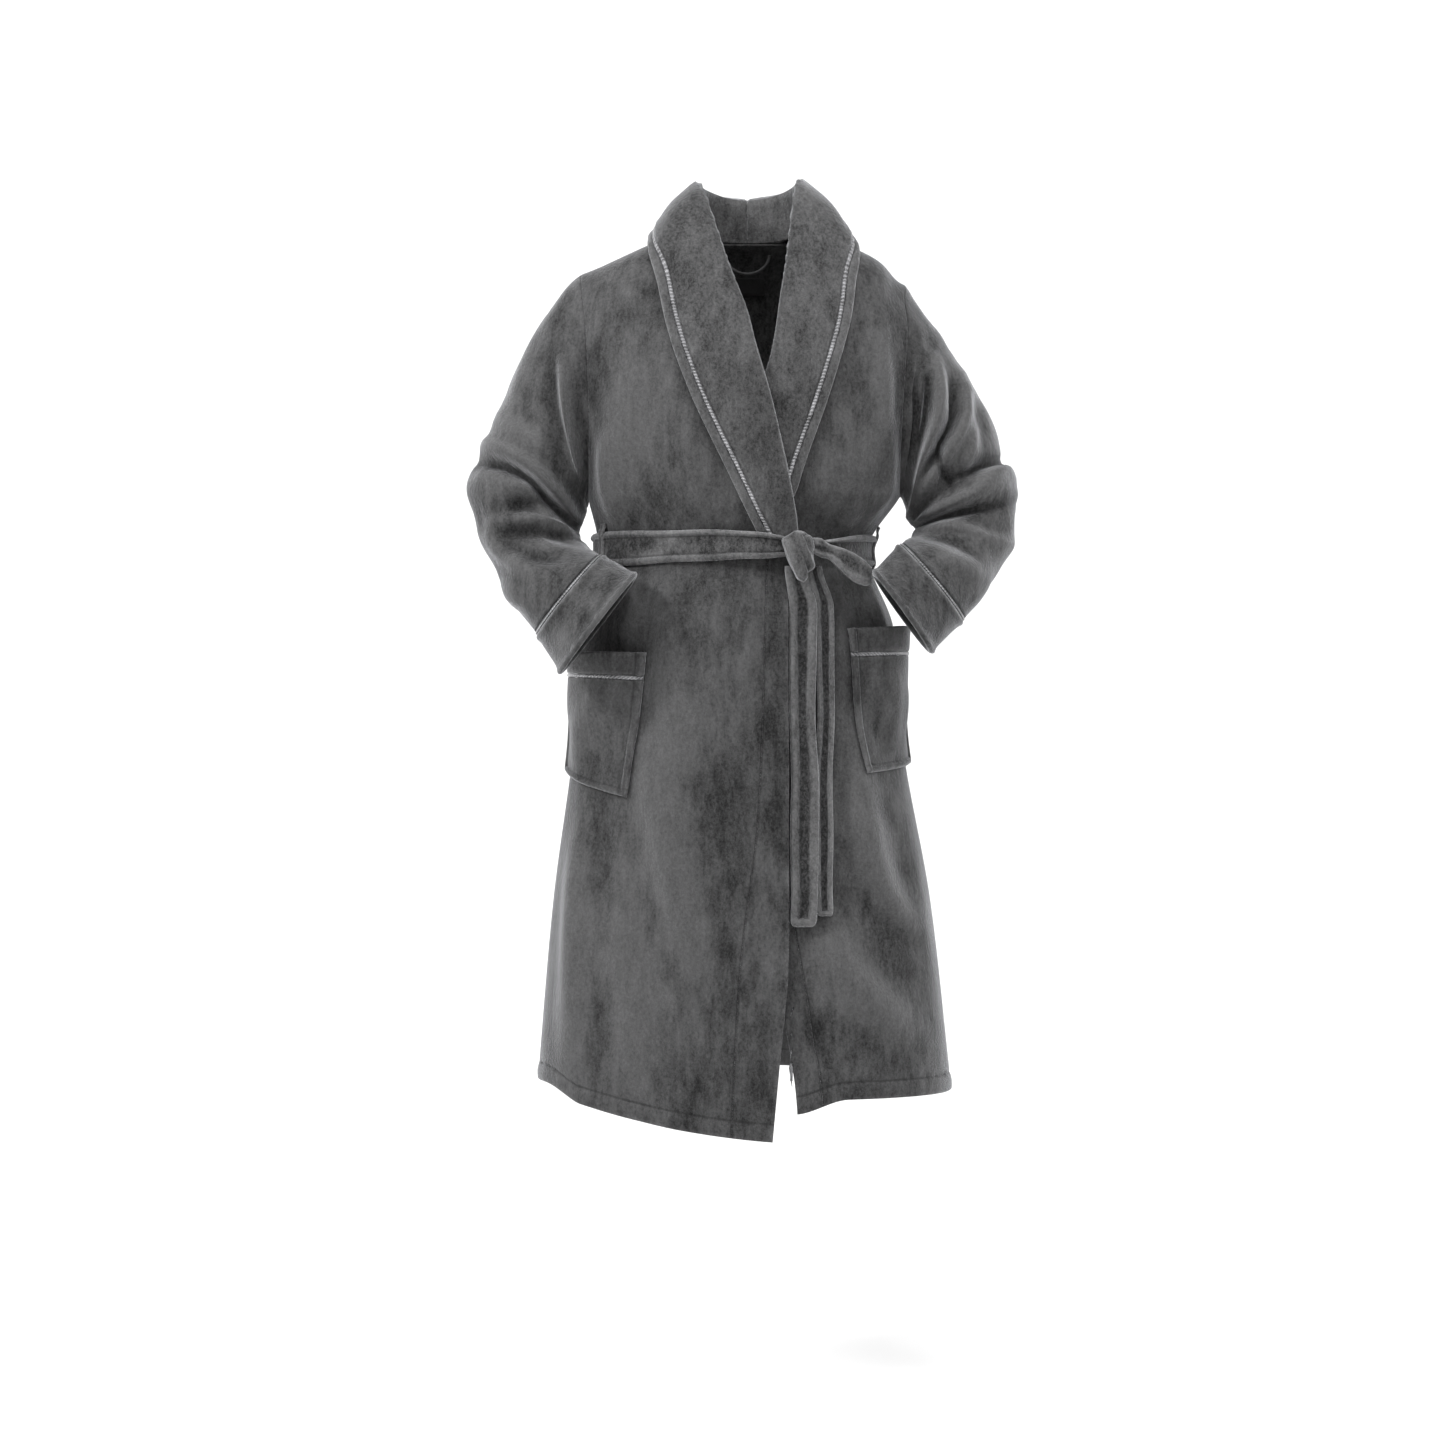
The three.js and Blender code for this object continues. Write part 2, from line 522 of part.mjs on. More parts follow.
function collar(sideName) {
  const spec = COLLAR[sideName];
  const lapelRows = range(9, (f) => lapelSection(lerp(LAPEL_TOP_Z, COLLAR_END_Z, f), spec));
  const keys = [...spec.neck.map((n) => neckSection(n, spec.side)), ...lapelRows];
  const lines = keys[0].map((_, i) => new THREE.CatmullRomCurve3(keys.map((k) => k[i])));
  const steps = 26;
  const sections = range(steps, (f) => lines.map((line) => line.getPoint(f)));
  const seamX = (spec.side * SEAM) / 2;
  sections[0].forEach((p) => p.setX(seamX));
  const fall = (section, mm) => {
    const [bend, middle, hem] = [section[4], section[5], section[6]];
    const length = middle.distanceTo(hem);
    const onLower = hem.clone().lerp(middle, Math.min(mm / length, 1));
    return mm <= length ? onLower : middle.clone().lerp(bend, (mm - length) / middle.distanceTo(bend));
  };
  const strip = (from, to) => sections.map((section) => [to, (from + to) / 2, from].map((mm) => fall(section, mm)));
  const inPipe = COLLAR_EDGE_WIDTH + PIPING;
  const main = sections.map((section) => [...section.slice(0, 5),
    ...[0.5, 1].map((f) => fall(section, lerp(section[4].distanceTo(section[5])
      + section[5].distanceTo(section[6]), inPipe + SEAM, f)))]);
  const behind = (p, r, c) => {
    const section = sections[r];
    return section[4].clone().lerp(section[6], 0.35).add(section[0]).multiplyScalar(0.5);
  };
  const under = (p, r) => sections[r][0].clone().add(vec(0, r > 8 ? 60 : 0, -30));
  thicken(`collar_${sideName}`, main, COLLAR_CLOTH, behind, CLOTH_GREY, 0.9, seamX);
  thicken(`collar_piping_${sideName}`, strip(COLLAR_EDGE_WIDTH, inPipe), COLLAR_CLOTH + PIPING_PROUD,
    under, SATIN_GREY, 0.35, seamX);
  thicken(`collar_edge_${sideName}`, strip(0, COLLAR_EDGE_WIDTH - SEAM), COLLAR_CLOTH, under,
    CLOTH_GREY, 0.9, seamX);
}

// Pocket: a patch sewn down on three sides, standing open at the mouth.
function pocket(sideName) {
  const side = sideName === "left" ? 1 : -1;
  const { front, back: rear, top, lean, backRise } = POCKETS[sideName];
  const degrees = THREE.MathUtils.degToRad;
  const place = (u, v, extra) => {
    const turn = degrees(lerp(front + lean * (1 - v), rear, u));
    const z = top - POCKET_HEIGHT * (1 - v) + backRise * u * (1 - v);
    const s = beltLevel(z);
    const open = POCKET_OPENING * Math.sin(Math.PI * u) ** 0.9 * v ** 1.4;
    const p = basePoint(s, side * turn, false);
    const lift = sideName === "right" ? lap(p.x, p.z) : 0;
    return skin(s, side * turn, lift + POCKET_LAY + open + extra);
  };
  const patch = (name, low, high, rows, thickness, colour, roughness) => {
    const grid = (extra) => range(rows, (f) => range(10, (u) => place(u, lerp(low, high, f), extra)));
    solidOf(name, grid(0), grid(thickness), colour, roughness);
  };
  const bandFoot = 1 - POCKET_BAND_SHARE;
  const gap = SEAM / POCKET_HEIGHT;
  const pipeTop = bandFoot + PIPING / POCKET_HEIGHT;
  patch(`${sideName}_pocket`, 0, bandFoot - gap, 7, CLOTH, CLOTH_GREY, 0.9);
  patch(`${sideName}_pocket_piping`, bandFoot, pipeTop, 1, CLOTH + PIPING_PROUD, SATIN_GREY, 0.35);
  patch(`${sideName}_pocket_band`, pipeTop + gap, 1, 2, CLOTH, CLOTH_GREY, 0.9);
}

// Belt. It runs from the knot round the waist and back to the knot, over the end of the collar.
const KNOT_Z = BELT_Z - 16;
const COLLAR_UNDER_BELT = 10; // what the collar's end adds under the belt
const knotLift = OVERLAP_LIFT + BELT_LIFT + COLLAR_UNDER_BELT;
const beltLift = (x, z, back) => {
  if (back) return BELT_LIFT;
  if (x < KNOT_X) return lap(x, z) + BELT_LIFT + COLLAR_UNDER_BELT * smoothstep(x, -50, -5);
  return lerp(knotLift, BELT_LIFT, smoothstep(x, KNOT_X + KNOT_HALF_WIDTH, KNOT_X + 90));
};

function beltWrap() {
  const column = (s, turn, back, extra) => {
    const p = basePoint(s, turn, back);
    return skin(s, turn, beltLift(p.x, p.z, back) + extra, back);
  };
  const heights = beltEdges.map(beltLevel);
  const grid = (extra) => heights.map((s) => {
    const left = turnAt(s, KNOT_X - KNOT_HALF_WIDTH - 6.2);
    const right = turnAt(s, KNOT_X + KNOT_HALF_WIDTH + 4);
    const first = range(16, (f) => [lerp(left, -Math.PI / 2, f), false]);
    const behind = range(20, (f) => [lerp(-Math.PI / 2, Math.PI / 2, f), true]).slice(1, -1);
    const second = range(10, (f) => [lerp(Math.PI / 2, right, f), false]);
    return [...first, ...behind, ...second].map(([turn, back]) => column(s, turn, back, extra));
  });
  solidOf("belt_wrap", grid(0), grid(BELT_CLOTH), BELT_GREY, 0.9);
}

const knotPlace = () => {
  const front = onFront(KNOT_X, BELT_Z, knotLift);
  return vec(KNOT_X, front.y - KNOT_DEPTH / 2 - 2.6, KNOT_Z);
};

// Rounded lump: an oval ball squared off by its power.
function lump(name, middle, half, power, colour) {
  const bend = (t) => Math.sign(t) * Math.abs(t) ** power;
  const ball = new THREE.SphereGeometry(1, 20, 14).rotateX(Math.PI / 2);
  const place = ball.getAttribute("position");
  for (let i = 0; i < place.count; i++) {
    const p = vec().fromBufferAttribute(place, i);
    const narrow = lerp(0.72, 1.06, smoothstep(p.z, -1, 0.4));
    place.setXYZ(i, middle.x + half.x * bend(p.x) * narrow, middle.y + half.y * bend(p.y) * narrow,
      middle.z + half.z * p.z);
  }
  ball.computeVertexNormals();
  const mesh = new THREE.Mesh(ball, new THREE.MeshStandardMaterial({ color: colour, roughness: 0.9 }));
  mesh.name = name;
  robe.add(mesh);
}

// Tail of the belt, folded lengthwise, hanging from the knot down the front of the skirt.
function beltTail(name, topX, topWidth) {
  const { x, width, length } = TAILS[name];
  const foot = knotPlace().y;
  const rows = range(14, (f) => {
    const z = TAIL_TOP_Z - f * length;
    const settle = smoothstep(f, 0, 0.2);
    const at = lerp(topX, x, smoothstep(f, 0, 0.14));
    const half = lerp(topWidth, width, smoothstep(f, 0, 0.2)) / 2;
    const rest = onFront(at, z, CLOTH + TAIL_STAND + TAIL_CLOTH / 2).y;
    const y = lerp(Math.min(foot + 4, rest), rest, settle);
    return [-1, -0.5, 0, 0.5, 1].map((u) => vec(at + u * half, y, z));
  });
  const shift = (dy) => rows.map((row) => row.map((p, c) => {
    const round = Math.abs(c - 2) === 2 ? 0.55 : 1;
    return p.clone().add(vec(0, dy * round, 0));
  }));
  solidOf(name, shift(TAIL_CLOTH / 2), shift(-TAIL_CLOTH / 2), BELT_GREY, 0.9);
}

// Bow: the belt turned back on itself, pinched where it leaves the knot.
const BOW_REACH = 64;
const BOW_DROP = 26;
function bow() {
  const root = knotPlace().add(vec(KNOT_HALF_WIDTH * 1.06 - 0.4, 0, 14));
  const ring = range(18, (f) => {
    const turn = Math.PI * (2 * f - 1);
    const reach = (1 + Math.cos(turn)) / 2;
    const open = 3.2 + 5.5 * Math.sin(Math.PI * reach) ** 0.7;
    const share = clamp((1 - Math.abs(2 * f - 1)) * 1.25, 0, 1);
    const out = Math.sin((share * Math.PI) / 2);
    const fold = f < 0.5 ? -1 : 1;
    const y = root.y + fold * open * Math.min(1, Math.sqrt(Math.abs(2 * f - 1) * 3));
    const half = lerp(2.6, 15, smoothstep(out, 0, 0.35));
    const z = root.z - BOW_DROP * out ** 1.3;
    return [-1, 0, 1].map((u) => vec(root.x + BOW_REACH * out, y, z + u * half));
  });
  const hollow = (p) => vec(p.x - 8, root.y, p.z);
  thicken("belt_bow_loop", ring, 5, (p) => hollow(p), BELT_GREY);
}

// Carrier for the belt at the side: a narrow strap from above the belt to below it.
const LOOP_WIDTH = 13;
const LOOP_CLOTH = 2.5;
const LOOP_TURNS = { right: 68, left: 84 };
function beltLoop(sideName) {
  const turn = (sideName === "left" ? 1 : -1) * THREE.MathUtils.degToRad(LOOP_TURNS[sideName]);
  const over = BELT_LIFT + BELT_CLOTH + SEAM * 2;
  const foot = CLOTH + SEAM * 2;
  const half = BELT_WIDTH / 2;
  const profile = [[half + 9, foot], [half + 3, foot + 1], [half + 0.5, over], [0, over + 0.5],
    [-half - 0.5, over], [-half - 3, foot + 1], [-half - 9, foot]];
  const wide = LOOP_WIDTH / level(beltLevel(BELT_Z), false).depth / 1.3;
  const grid = (extra) => profile.map(([dz, lift]) => [-0.5, 0, 0.5].map((u) => {
    const s = beltLevel(BELT_Z + dz);
    return skin(s, turn + u * wide, lift + extra);
  }));
  solidOf(`belt_loop_${sideName}`, grid(0), grid(LOOP_CLOTH), BELT_GREY, 0.9);
}

// Hanger loop and blank label inside the back of the neck
const HANG_LOOP = { halfWidth: 30, drop: 26, radius: 2.2 };
const LABEL = { width: 46, height: 24, cloth: 1, top: 38 };
function neckInside() {
  const neckLevel = 1 + Math.pow(1 - (NECK_BACK_DEPTH / (CHEST_DEPTH - 10)) ** 2, 0.25);
  const inside = (x, down, gap) => {
    let s = neckLevel;
    const top = basePoint(s, turnAt(s, x, true), true).z;
    while (basePoint(s, turnAt(s, x, true), true).z > top - down && s > 1) s -= 0.005;
    return skin(s, turnAt(s, x, true), -gap, true);
  };
  const { halfWidth, drop, radius } = HANG_LOOP;
  const end = inside(halfWidth, 8, radius + 1.5);
  const route = range(8, (f) => vec(
    -end.x * Math.cos(Math.PI * f), end.y, end.z - drop * Math.sin(Math.PI * f)));
  const round = new THREE.Shape().absarc(0, 0, radius, 0, 2 * Math.PI);
  const geometry = new THREE.ExtrudeGeometry(round, {
    steps: 20, curveSegments: 4, extrudePath: new THREE.CatmullRomCurve3(route), bevelEnabled: false,
  });
  const cord = new THREE.Mesh(geometry, new THREE.MeshStandardMaterial({ color: CLOTH_GREY }));
  cord.name = "hang_loop";
  robe.add(cord);
  const labelGap = 2.4;
  const label = (gap) => [0, 1].map((v) => [-0.5, -0.25, 0, 0.25, 0.5].map((u) =>
    inside(u * LABEL.width, LABEL.top + v * LABEL.height, gap)));
  solidOf("neck_label", label(labelGap), label(labelGap + LABEL.cloth), SATIN_GREY, 0.6);
}

["right", "left"].forEach((sideName) => {
  sleeve(sideName);
  collar(sideName);
  pocket(sideName);
  beltLoop(sideName);
});
beltWrap();
lump("belt_knot", knotPlace(), vec(KNOT_HALF_WIDTH, KNOT_DEPTH / 2, KNOT_HALF_HEIGHT), 0.6, BELT_GREY);
beltTail("belt_tail_right", 60, 13);
beltTail("belt_tail_left", 78.5, 14);
bow();
neckInside();

export default robe;
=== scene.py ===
"""Looks of the plush bathrobe: every piece is a shell of cloth on the same body, sleeve and collar
surfaces that the solids follow, with folds, turned edges, sunk stitching and a napped pile."""
import json
import math

import bpy
import mathutils
import numpy as np
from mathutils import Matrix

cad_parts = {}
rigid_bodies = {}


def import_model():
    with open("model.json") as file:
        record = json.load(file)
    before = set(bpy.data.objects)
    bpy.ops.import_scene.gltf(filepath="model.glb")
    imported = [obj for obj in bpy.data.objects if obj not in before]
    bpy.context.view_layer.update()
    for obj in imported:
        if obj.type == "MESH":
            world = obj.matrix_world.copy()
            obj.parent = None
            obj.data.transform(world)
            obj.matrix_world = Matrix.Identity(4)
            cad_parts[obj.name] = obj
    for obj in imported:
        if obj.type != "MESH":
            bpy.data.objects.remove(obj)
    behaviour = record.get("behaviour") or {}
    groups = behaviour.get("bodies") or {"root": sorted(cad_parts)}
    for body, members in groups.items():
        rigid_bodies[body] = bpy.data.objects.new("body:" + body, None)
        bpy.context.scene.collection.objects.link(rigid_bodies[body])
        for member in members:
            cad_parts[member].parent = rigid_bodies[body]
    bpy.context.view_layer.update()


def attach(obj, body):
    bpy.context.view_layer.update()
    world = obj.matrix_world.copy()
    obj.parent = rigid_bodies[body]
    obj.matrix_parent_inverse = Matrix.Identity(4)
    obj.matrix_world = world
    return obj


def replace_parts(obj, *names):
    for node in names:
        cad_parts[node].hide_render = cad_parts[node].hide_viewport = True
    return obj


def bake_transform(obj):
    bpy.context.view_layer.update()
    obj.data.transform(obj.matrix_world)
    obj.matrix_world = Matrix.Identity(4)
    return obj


for leftover in list(bpy.data.objects):
    bpy.data.objects.remove(leftover)
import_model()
MM = 0.001

# ---------------------------------------------------------------- camera
cam = bpy.data.objects.new("camera", bpy.data.cameras.new("camera"))
bpy.context.scene.collection.objects.link(cam)
cam.location = (-0.034, -4.5, -0.658)
cam.rotation_euler = (math.radians(90), 0, 0)
cam.data.lens = 83.0
cam.data.sensor_width = 36.0
bpy.context.scene.camera = cam

# ---------------------------------------------------------------- sizes, in millimetres
# They are those of the part's source.
CLOTH, COLLAR_CLOTH, PIPING, SEAM, LAY = 4, 5, 5, 0.4, 1.4
NECK_Z, ARMPIT_Z, SHOULDER_Z, BELT_Z, HEM_Z = 5, -352, -60, -425, -1137
HEM_DROP, UNDER_DROP, UNDER_CORNER_DROP, HEM_DROP_LEVEL, RIGHT_FRONT_END = 69, 14, 18, 0.35, 56
HEM_DROP_FROM, HEM_DROP_TO, HEM_SIDE_CURVE = -70, 272, 52
NECK_HALF_WIDTH, NECK_BACK_DEPTH, CHEST_DEPTH, ARMHOLE_DEPTH, ARMHOLE_HOLLOW = 80, 58, 128, 66, 6
CHEST_HALF_WIDTH, SHOULDER_HALF_WIDTH, POWER = 207, 222, 2.3
OVERLAP_LIFT = 14
BELT_WIDTH, BELT_CLOTH, BELT_LIFT, COLLAR_UNDER_BELT = 44.5, 7, 5.5, 10
KNOT_X, KNOT_HALF_WIDTH, KNOT_HALF_HEIGHT, KNOT_DEPTH = 67.5, 18.5, 38, 38


def skirt_z(share):
    return BELT_Z + share * (HEM_Z - BELT_Z)


BODY = [
    [HEM_Z, -4, 275, 160, 150], [skirt_z(0.66), -8, 250, 148, 140], [skirt_z(0.37), -13, 218, 138, 135],
    [skirt_z(0.15), -14, 207, 128, 127], [BELT_Z, -20, 178, 106, 102], [ARMPIT_Z, -5, 207, 119, 112],
]
RIGHT_EDGE = [
    [skirt_z(1.1), 30], [skirt_z(0.93), 41], [skirt_z(0.78), 50], [skirt_z(0.5), 51], [skirt_z(0.1), 50],
    [BELT_Z, 55], [-371, 52], [-273, 32], [-223, 20], [-166, 3], [-105, -12], [-60, -34], [-25, -62],
    [NECK_Z, -NECK_HALF_WIDTH],
]
LEFT_EDGE = [
    [skirt_z(1.1), 66], [skirt_z(0.97), 58], [skirt_z(0.5), 0], [BELT_Z, -60], [-330, -35], [-273, -8],
    [-220, 20], [-186, 34], [-143, 42], [-72, 53], [-30, 68], [NECK_Z, NECK_HALF_WIDTH],
]
BAND_SEAM = [[skirt_z(1.1), -23], [skirt_z(0.78), -11], [skirt_z(0.5), 12], [BELT_Z, 24]]
LEFT_BAND = 34
COLLAR_END_Z, LAPEL_TOP_Z, COLLAR_EDGE = -436, -84, 14
RIGHT_OUTER = [[COLLAR_END_Z, 22], [-401, 9], [-288, -46], [-236, -70], [-143, -104], [-66, -121]]
LEFT_OUTER = [
    [COLLAR_END_Z, 6], [-369, 55], [-309, 76], [-244, 99], [-182, 118], [-127, 133], [-66, 141],
]
ARM_STATIONS = {
    "right": [
        [262, -106, 216, -366, 4, 74], [302, -178, 224, -378, 8, 78], [343, -262, 231, -390, 10, 78],
        [375, -340, 233, -402, 6, 78], [352, -420, 228, -414, -12, 74], [320, -484, 215, -426, -52, 70],
        [279, -535, 200, -439, -90, 64],
    ],
    "left": [
        [240, -110, 212, -364, 4, 74], [280, -182, 222, -374, 8, 78], [325, -268, 230, -384, 10, 78],
        [362, -350, 232, -396, 6, 78], [353, -416, 227, -405, -12, 74], [322, -472, 219, -414, -52, 70],
        [284, -517, 206, -424, -90, 64],
    ],
}
CUFF_ENDS = {"right": [240, -590, 149, -472, -152, 54], "left": [233, -563, 164, -468, -152, 54]}
POCKETS = {"right": (33.5, 88, -567, 5.5, 34), "left": (42, 89, -536, 4, 12)}
POCKET_HEIGHT, POCKET_BAND, POCKET_OPENING = 190, 0.19, 24
NECK_BACK_S = 1 + (1 - (NECK_BACK_DEPTH / (CHEST_DEPTH - 10)) ** 2) ** 0.25
TAIL_START, TAIL_TOP_Z, TAIL_LIFT, TAIL_FOOT = -453.0, -478.8, 13.0, 16
SLEEVE_LENGTH = 620
NO_STITCH, NO_EDGE = 30, 20  # distances that the pile's shader reads as too far to matter


# ---------------------------------------------------------------- small maths
def lerp(a, b, f):
    return a + (b - a) * f


def step(x, low, high):
    t = np.clip((np.asarray(x, float) - low) / (high - low), 0, 1)
    return t * t * (3 - 2 * t)


def unit(v):
    return v / np.maximum(np.linalg.norm(v, axis=-1, keepdims=True), 1e-9)


def vec(x, y, z):
    return np.stack(np.broadcast_arrays(x, y, z), -1).astype(float)


def along(keys, at):
    """Smooth value on a list of [position, ...values] at each position given."""
    k = np.array(sorted(keys), float)
    x, y = k[:, 0], k[:, 1:]
    slope = np.empty_like(y)
    slope[1:-1] = (y[2:] - y[:-2]) / (x[2:] - x[:-2])[:, None]
    slope[0], slope[-1] = (y[1] - y[0]) / (x[1] - x[0]), (y[-1] - y[-2]) / (x[-1] - x[-2])
    at = np.clip(np.asarray(at, float), x[0], x[-1])
    i = np.clip(np.searchsorted(x, at) - 1, 0, len(x) - 2)
    span = (x[i + 1] - x[i])[..., None]
    f = ((at - x[i])[..., None]) / span
    v = ((2 * f**3 - 3 * f**2 + 1) * y[i] + (f**3 - 2 * f**2 + f) * span * slope[i]
         + (3 * f**2 - 2 * f**3) * y[i + 1] + (f**3 - f**2) * span * slope[i + 1])
    return v[..., 0] if v.shape[-1] == 1 else np.moveaxis(v, -1, 0)


def resample(P, f, axis=0):
    """Smooth curve through the rows of P, at shares f of its mean chord length."""
    P = np.moveaxis(P, axis, 0)
    flat = P.reshape(len(P), -1)
    gap = np.linalg.norm(np.diff(P, axis=0), axis=-1).reshape(len(P) - 1, -1).mean(1)
    x = np.concatenate([[0], np.cumsum(np.maximum(gap, 1e-4))])
    got = np.stack(along(np.column_stack([x, flat]).tolist(), np.asarray(f) * x[-1]), 1)
    return np.moveaxis(got.reshape(len(f), *P.shape[1:]), 0, axis)


def normals(P, closed=False):
    """Unit normals of a grid of points."""
    down = np.gradient(P, axis=0)
    if closed:
        across = np.roll(P, -1, 1) - np.roll(P, 1, 1)
    else:
        across = np.gradient(P, axis=1)
    return unit(np.cross(down, across))


# ---------------------------------------------------------------- the body's surface
def level(s, back):
    """Sizes of the body at level s: 0 is the hem, 1 the armpit and 2 the shoulder seam."""
    s = np.asarray(s, float)
    z = lerp(HEM_Z, ARMPIT_Z, np.minimum(s, 1))
    mid, half, front, rear = along(BODY, z)
    t = np.clip(s - 1, 0, 0.9995)
    arch, up = np.sin(np.pi * t), (1 - np.cos(np.pi * t)) / 2
    depth = lerp(rear if back else front, CHEST_DEPTH, 0.7 * arch**2) * np.sqrt(1 - t**4)
    arm = np.where(s <= 1, half, lerp(CHEST_HALF_WIDTH, SHOULDER_HALF_WIDTH, up) - ARMHOLE_HOLLOW * arch)
    inset = np.minimum(ARMHOLE_DEPTH * arch**0.8, 0.9 * depth)
    oval = arm / (1 - (inset / depth) ** POWER) ** (1 / POWER)
    reach = np.arcsin(np.minimum(arm / oval, 1))
    z = np.where(s <= 1, z, lerp(ARMPIT_Z, SHOULDER_Z, up))
    return {"z": z, "t": t, "mid": mid * (1 - up * (s > 1)), "half": oval, "depth": depth,
            "reach": reach, "arm": arm}


def base(s, turn, back=False):
    """Points of the plain body; turn is the angle round it, 0 in the middle and pi / 2 at the side seam."""
    row = level(s, back)
    sine = np.sin(turn)
    x = row["mid"] + row["half"] * sine
    y = row["depth"] * np.maximum(1 - np.abs(sine) ** POWER, 0) ** (1 / POWER)
    out = np.abs(x - row["mid"])
    share = np.clip((row["arm"] - out) / (row["arm"] - NECK_HALF_WIDTH), 0, 1)
    rise = (NECK_Z - SHOULDER_Z) * row["t"] ** 2 * share
    low = step(HEM_DROP_LEVEL - np.asarray(s, float), 0, HEM_DROP_LEVEL)
    away = np.clip((-x - HEM_DROP_FROM) / (HEM_DROP_TO - HEM_DROP_FROM), 0, 1)
    over = HEM_DROP * (1 - 0.85 * away**1.6) * (1 - step(-x, HEM_DROP_TO - HEM_SIDE_CURVE, HEM_DROP_TO))
    under = UNDER_DROP + UNDER_CORNER_DROP * step(-x, -130, -60)
    behind = UNDER_DROP * step(x, 110, 262)
    drop = np.where(x < RIGHT_FRONT_END, over, under)
    return vec(x, y if back else -y, row["z"] + rise - low * (behind if back else drop))


def outward(s, turn, back=False):
    """Unit normals of the plain body."""
    h = 0.004
    s = np.asarray(s, float)
    a, b = base(np.minimum(s + h, 1.995), turn, back), base(np.maximum(s - h, 0), turn, back)
    c, d = base(s, turn + h, back), base(s, turn - h, back)
    side = (np.abs(turn) > np.pi / 2 - 2 * h)[..., None]
    n = unit(np.cross(a - b, np.where(side, np.array([0.0, 1, 0]), c - d)))
    at = base(s, turn, back)
    flip = (n * vec(at[..., 0] * 0.5, at[..., 1], 60)).sum(-1, keepdims=True) < 0
    return np.where(flip, -n, n)


def turn_at(s, x, back=False):
    """The angle round the body that has the place x across."""
    row = level(s, back)
    return np.arcsin(np.clip((x - row["mid"]) / row["half"], -1, 1))


def s_of(x, z, back=False):
    """The level that has the height z at the place x across."""
    low, high = np.zeros(np.broadcast(x, z).shape), np.full(np.broadcast(x, z).shape, 1.995)
    for _ in range(24):
        s = (low + high) / 2
        below = base(s, turn_at(s, x, back), back)[..., 2] < z
        low, high = np.where(below, s, low), np.where(below, high, s)
    return low


def on_front(x, z, lift):
    """Points on the folded front, `lift` off its cloth."""
    s = s_of(x, z)
    t = turn_at(s, x)
    p = base(s, t)
    return p + outward(s, t) * np.asarray(lift + folds(p))[..., None]


def lap(x, z):
    """How far the wrap-over front stands off the plain body."""
    return OVERLAP_LIFT * step(x, -150, -85) * step(-z, 90, 200)


def s_at(z):
    """The level of a height below the armpit, on the plain body."""
    return (z - HEM_Z) / (ARMPIT_Z - HEM_Z)


def turn_on_line(s, line):
    """The angle round the front at which each level meets a line of [z, x]."""
    x = along(line, level(s, False)["z"])
    for _ in range(6):
        x = along(line, base(s, turn_at(s, x))[..., 2])
    return turn_at(s, x)


# ---------------------------------------------------------------- folds
# Each fold is a soft ridge (or, below zero, a valley): points (x, z) along it, half width, height.
CHEST_FOLDS = [
    ([(-190, -280), (-186, -330), (-170, -395)], 13, 4.5),
    ([(-170, -190), (-160, -290), (-150, -370)], 22, 3.5), ([(-212, -390), (-190, -425)], 10, 3),
    ([(-120, -120), (-140, -240), (-130, -350)], 34, 3), ([(-92, -170), (-75, -300), (-40, -395)], 26, 2.5),
    ([(196, -250), (190, -330), (160, -390)], 14, 4.5), ([(170, -130), (176, -230), (150, -340)], 20, 4),
    ([(120, -220), (132, -310), (112, -400)], 20, 3.5), ([(90, -300), (96, -400)], 16, 2.6),
    ([(150, -360), (112, -412)], 10, 2.8),
]
SKIRT_FOLDS = [
    ([(-150, -462), (-158, -560)], 18, 4), ([(-105, -458), (-100, -600), (-88, -760)], 24, 3.4),
    ([(-132, -700), (-110, -790), (-90, -880), (-60, -990)], 24, 7),
    ([(-222, -830), (-222, -1010), (-226, -1120)], 24, 7),
    ([(-165, -900), (-150, -1010), (-140, -1150)], 30, 5), ([(-60, -460), (-48, -560), (-55, -700)], 22, 2.6),
    ([(5, -460), (0, -560), (-10, -640)], 16, 2.5), ([(110, -455), (120, -560), (112, -650)], 14, 3.5),
    ([(132, -700), (160, -860), (210, -950)], 26, 9), ([(96, -930), (140, -1010), (200, -1060)], 26, 8),
    ([(118, -830), (168, -910), (232, -968)], 15, -5), ([(120, -700), (126, -800), (150, -880)], 12, -3),
    ([(160, -470), (190, -560)], 14, 4), ([(220, -780), (238, -900), (262, -1060)], 20, 5),
    ([(72, -1040), (110, -1110)], 13, -4), ([(-190, -780), (-195, -900)], 18, -3),
]
BACK_FOLDS = [
    ([(-150, -150), (-120, -290), (-60, -390)], 26, 5), ([(150, -150), (125, -290), (60, -390)], 26, 5),
    ([(-60, -200), (-40, -400)], 24, 4), ([(70, -220), (40, -400)], 24, 4),
    ([(-110, -330), (-30, -400)], 16, 4), ([(120, -330), (30, -395)], 16, 4), ([(0, -90), (4, -300)], 30, 3),
    ([(-120, -460), (-160, -800), (-190, -1130)], 34, 8), ([(-50, -460), (-62, -800), (-78, -1130)], 30, 9),
    ([(20, -460), (20, -800), (30, -1130)], 28, 7), ([(90, -460), (110, -800), (135, -1130)], 32, 9),
    ([(140, -460), (190, -800), (220, -1130)], 26, 7), ([(-90, -600), (-115, -1130)], 16, -4),
    ([(60, -600), (80, -1130)], 15, -4),
]


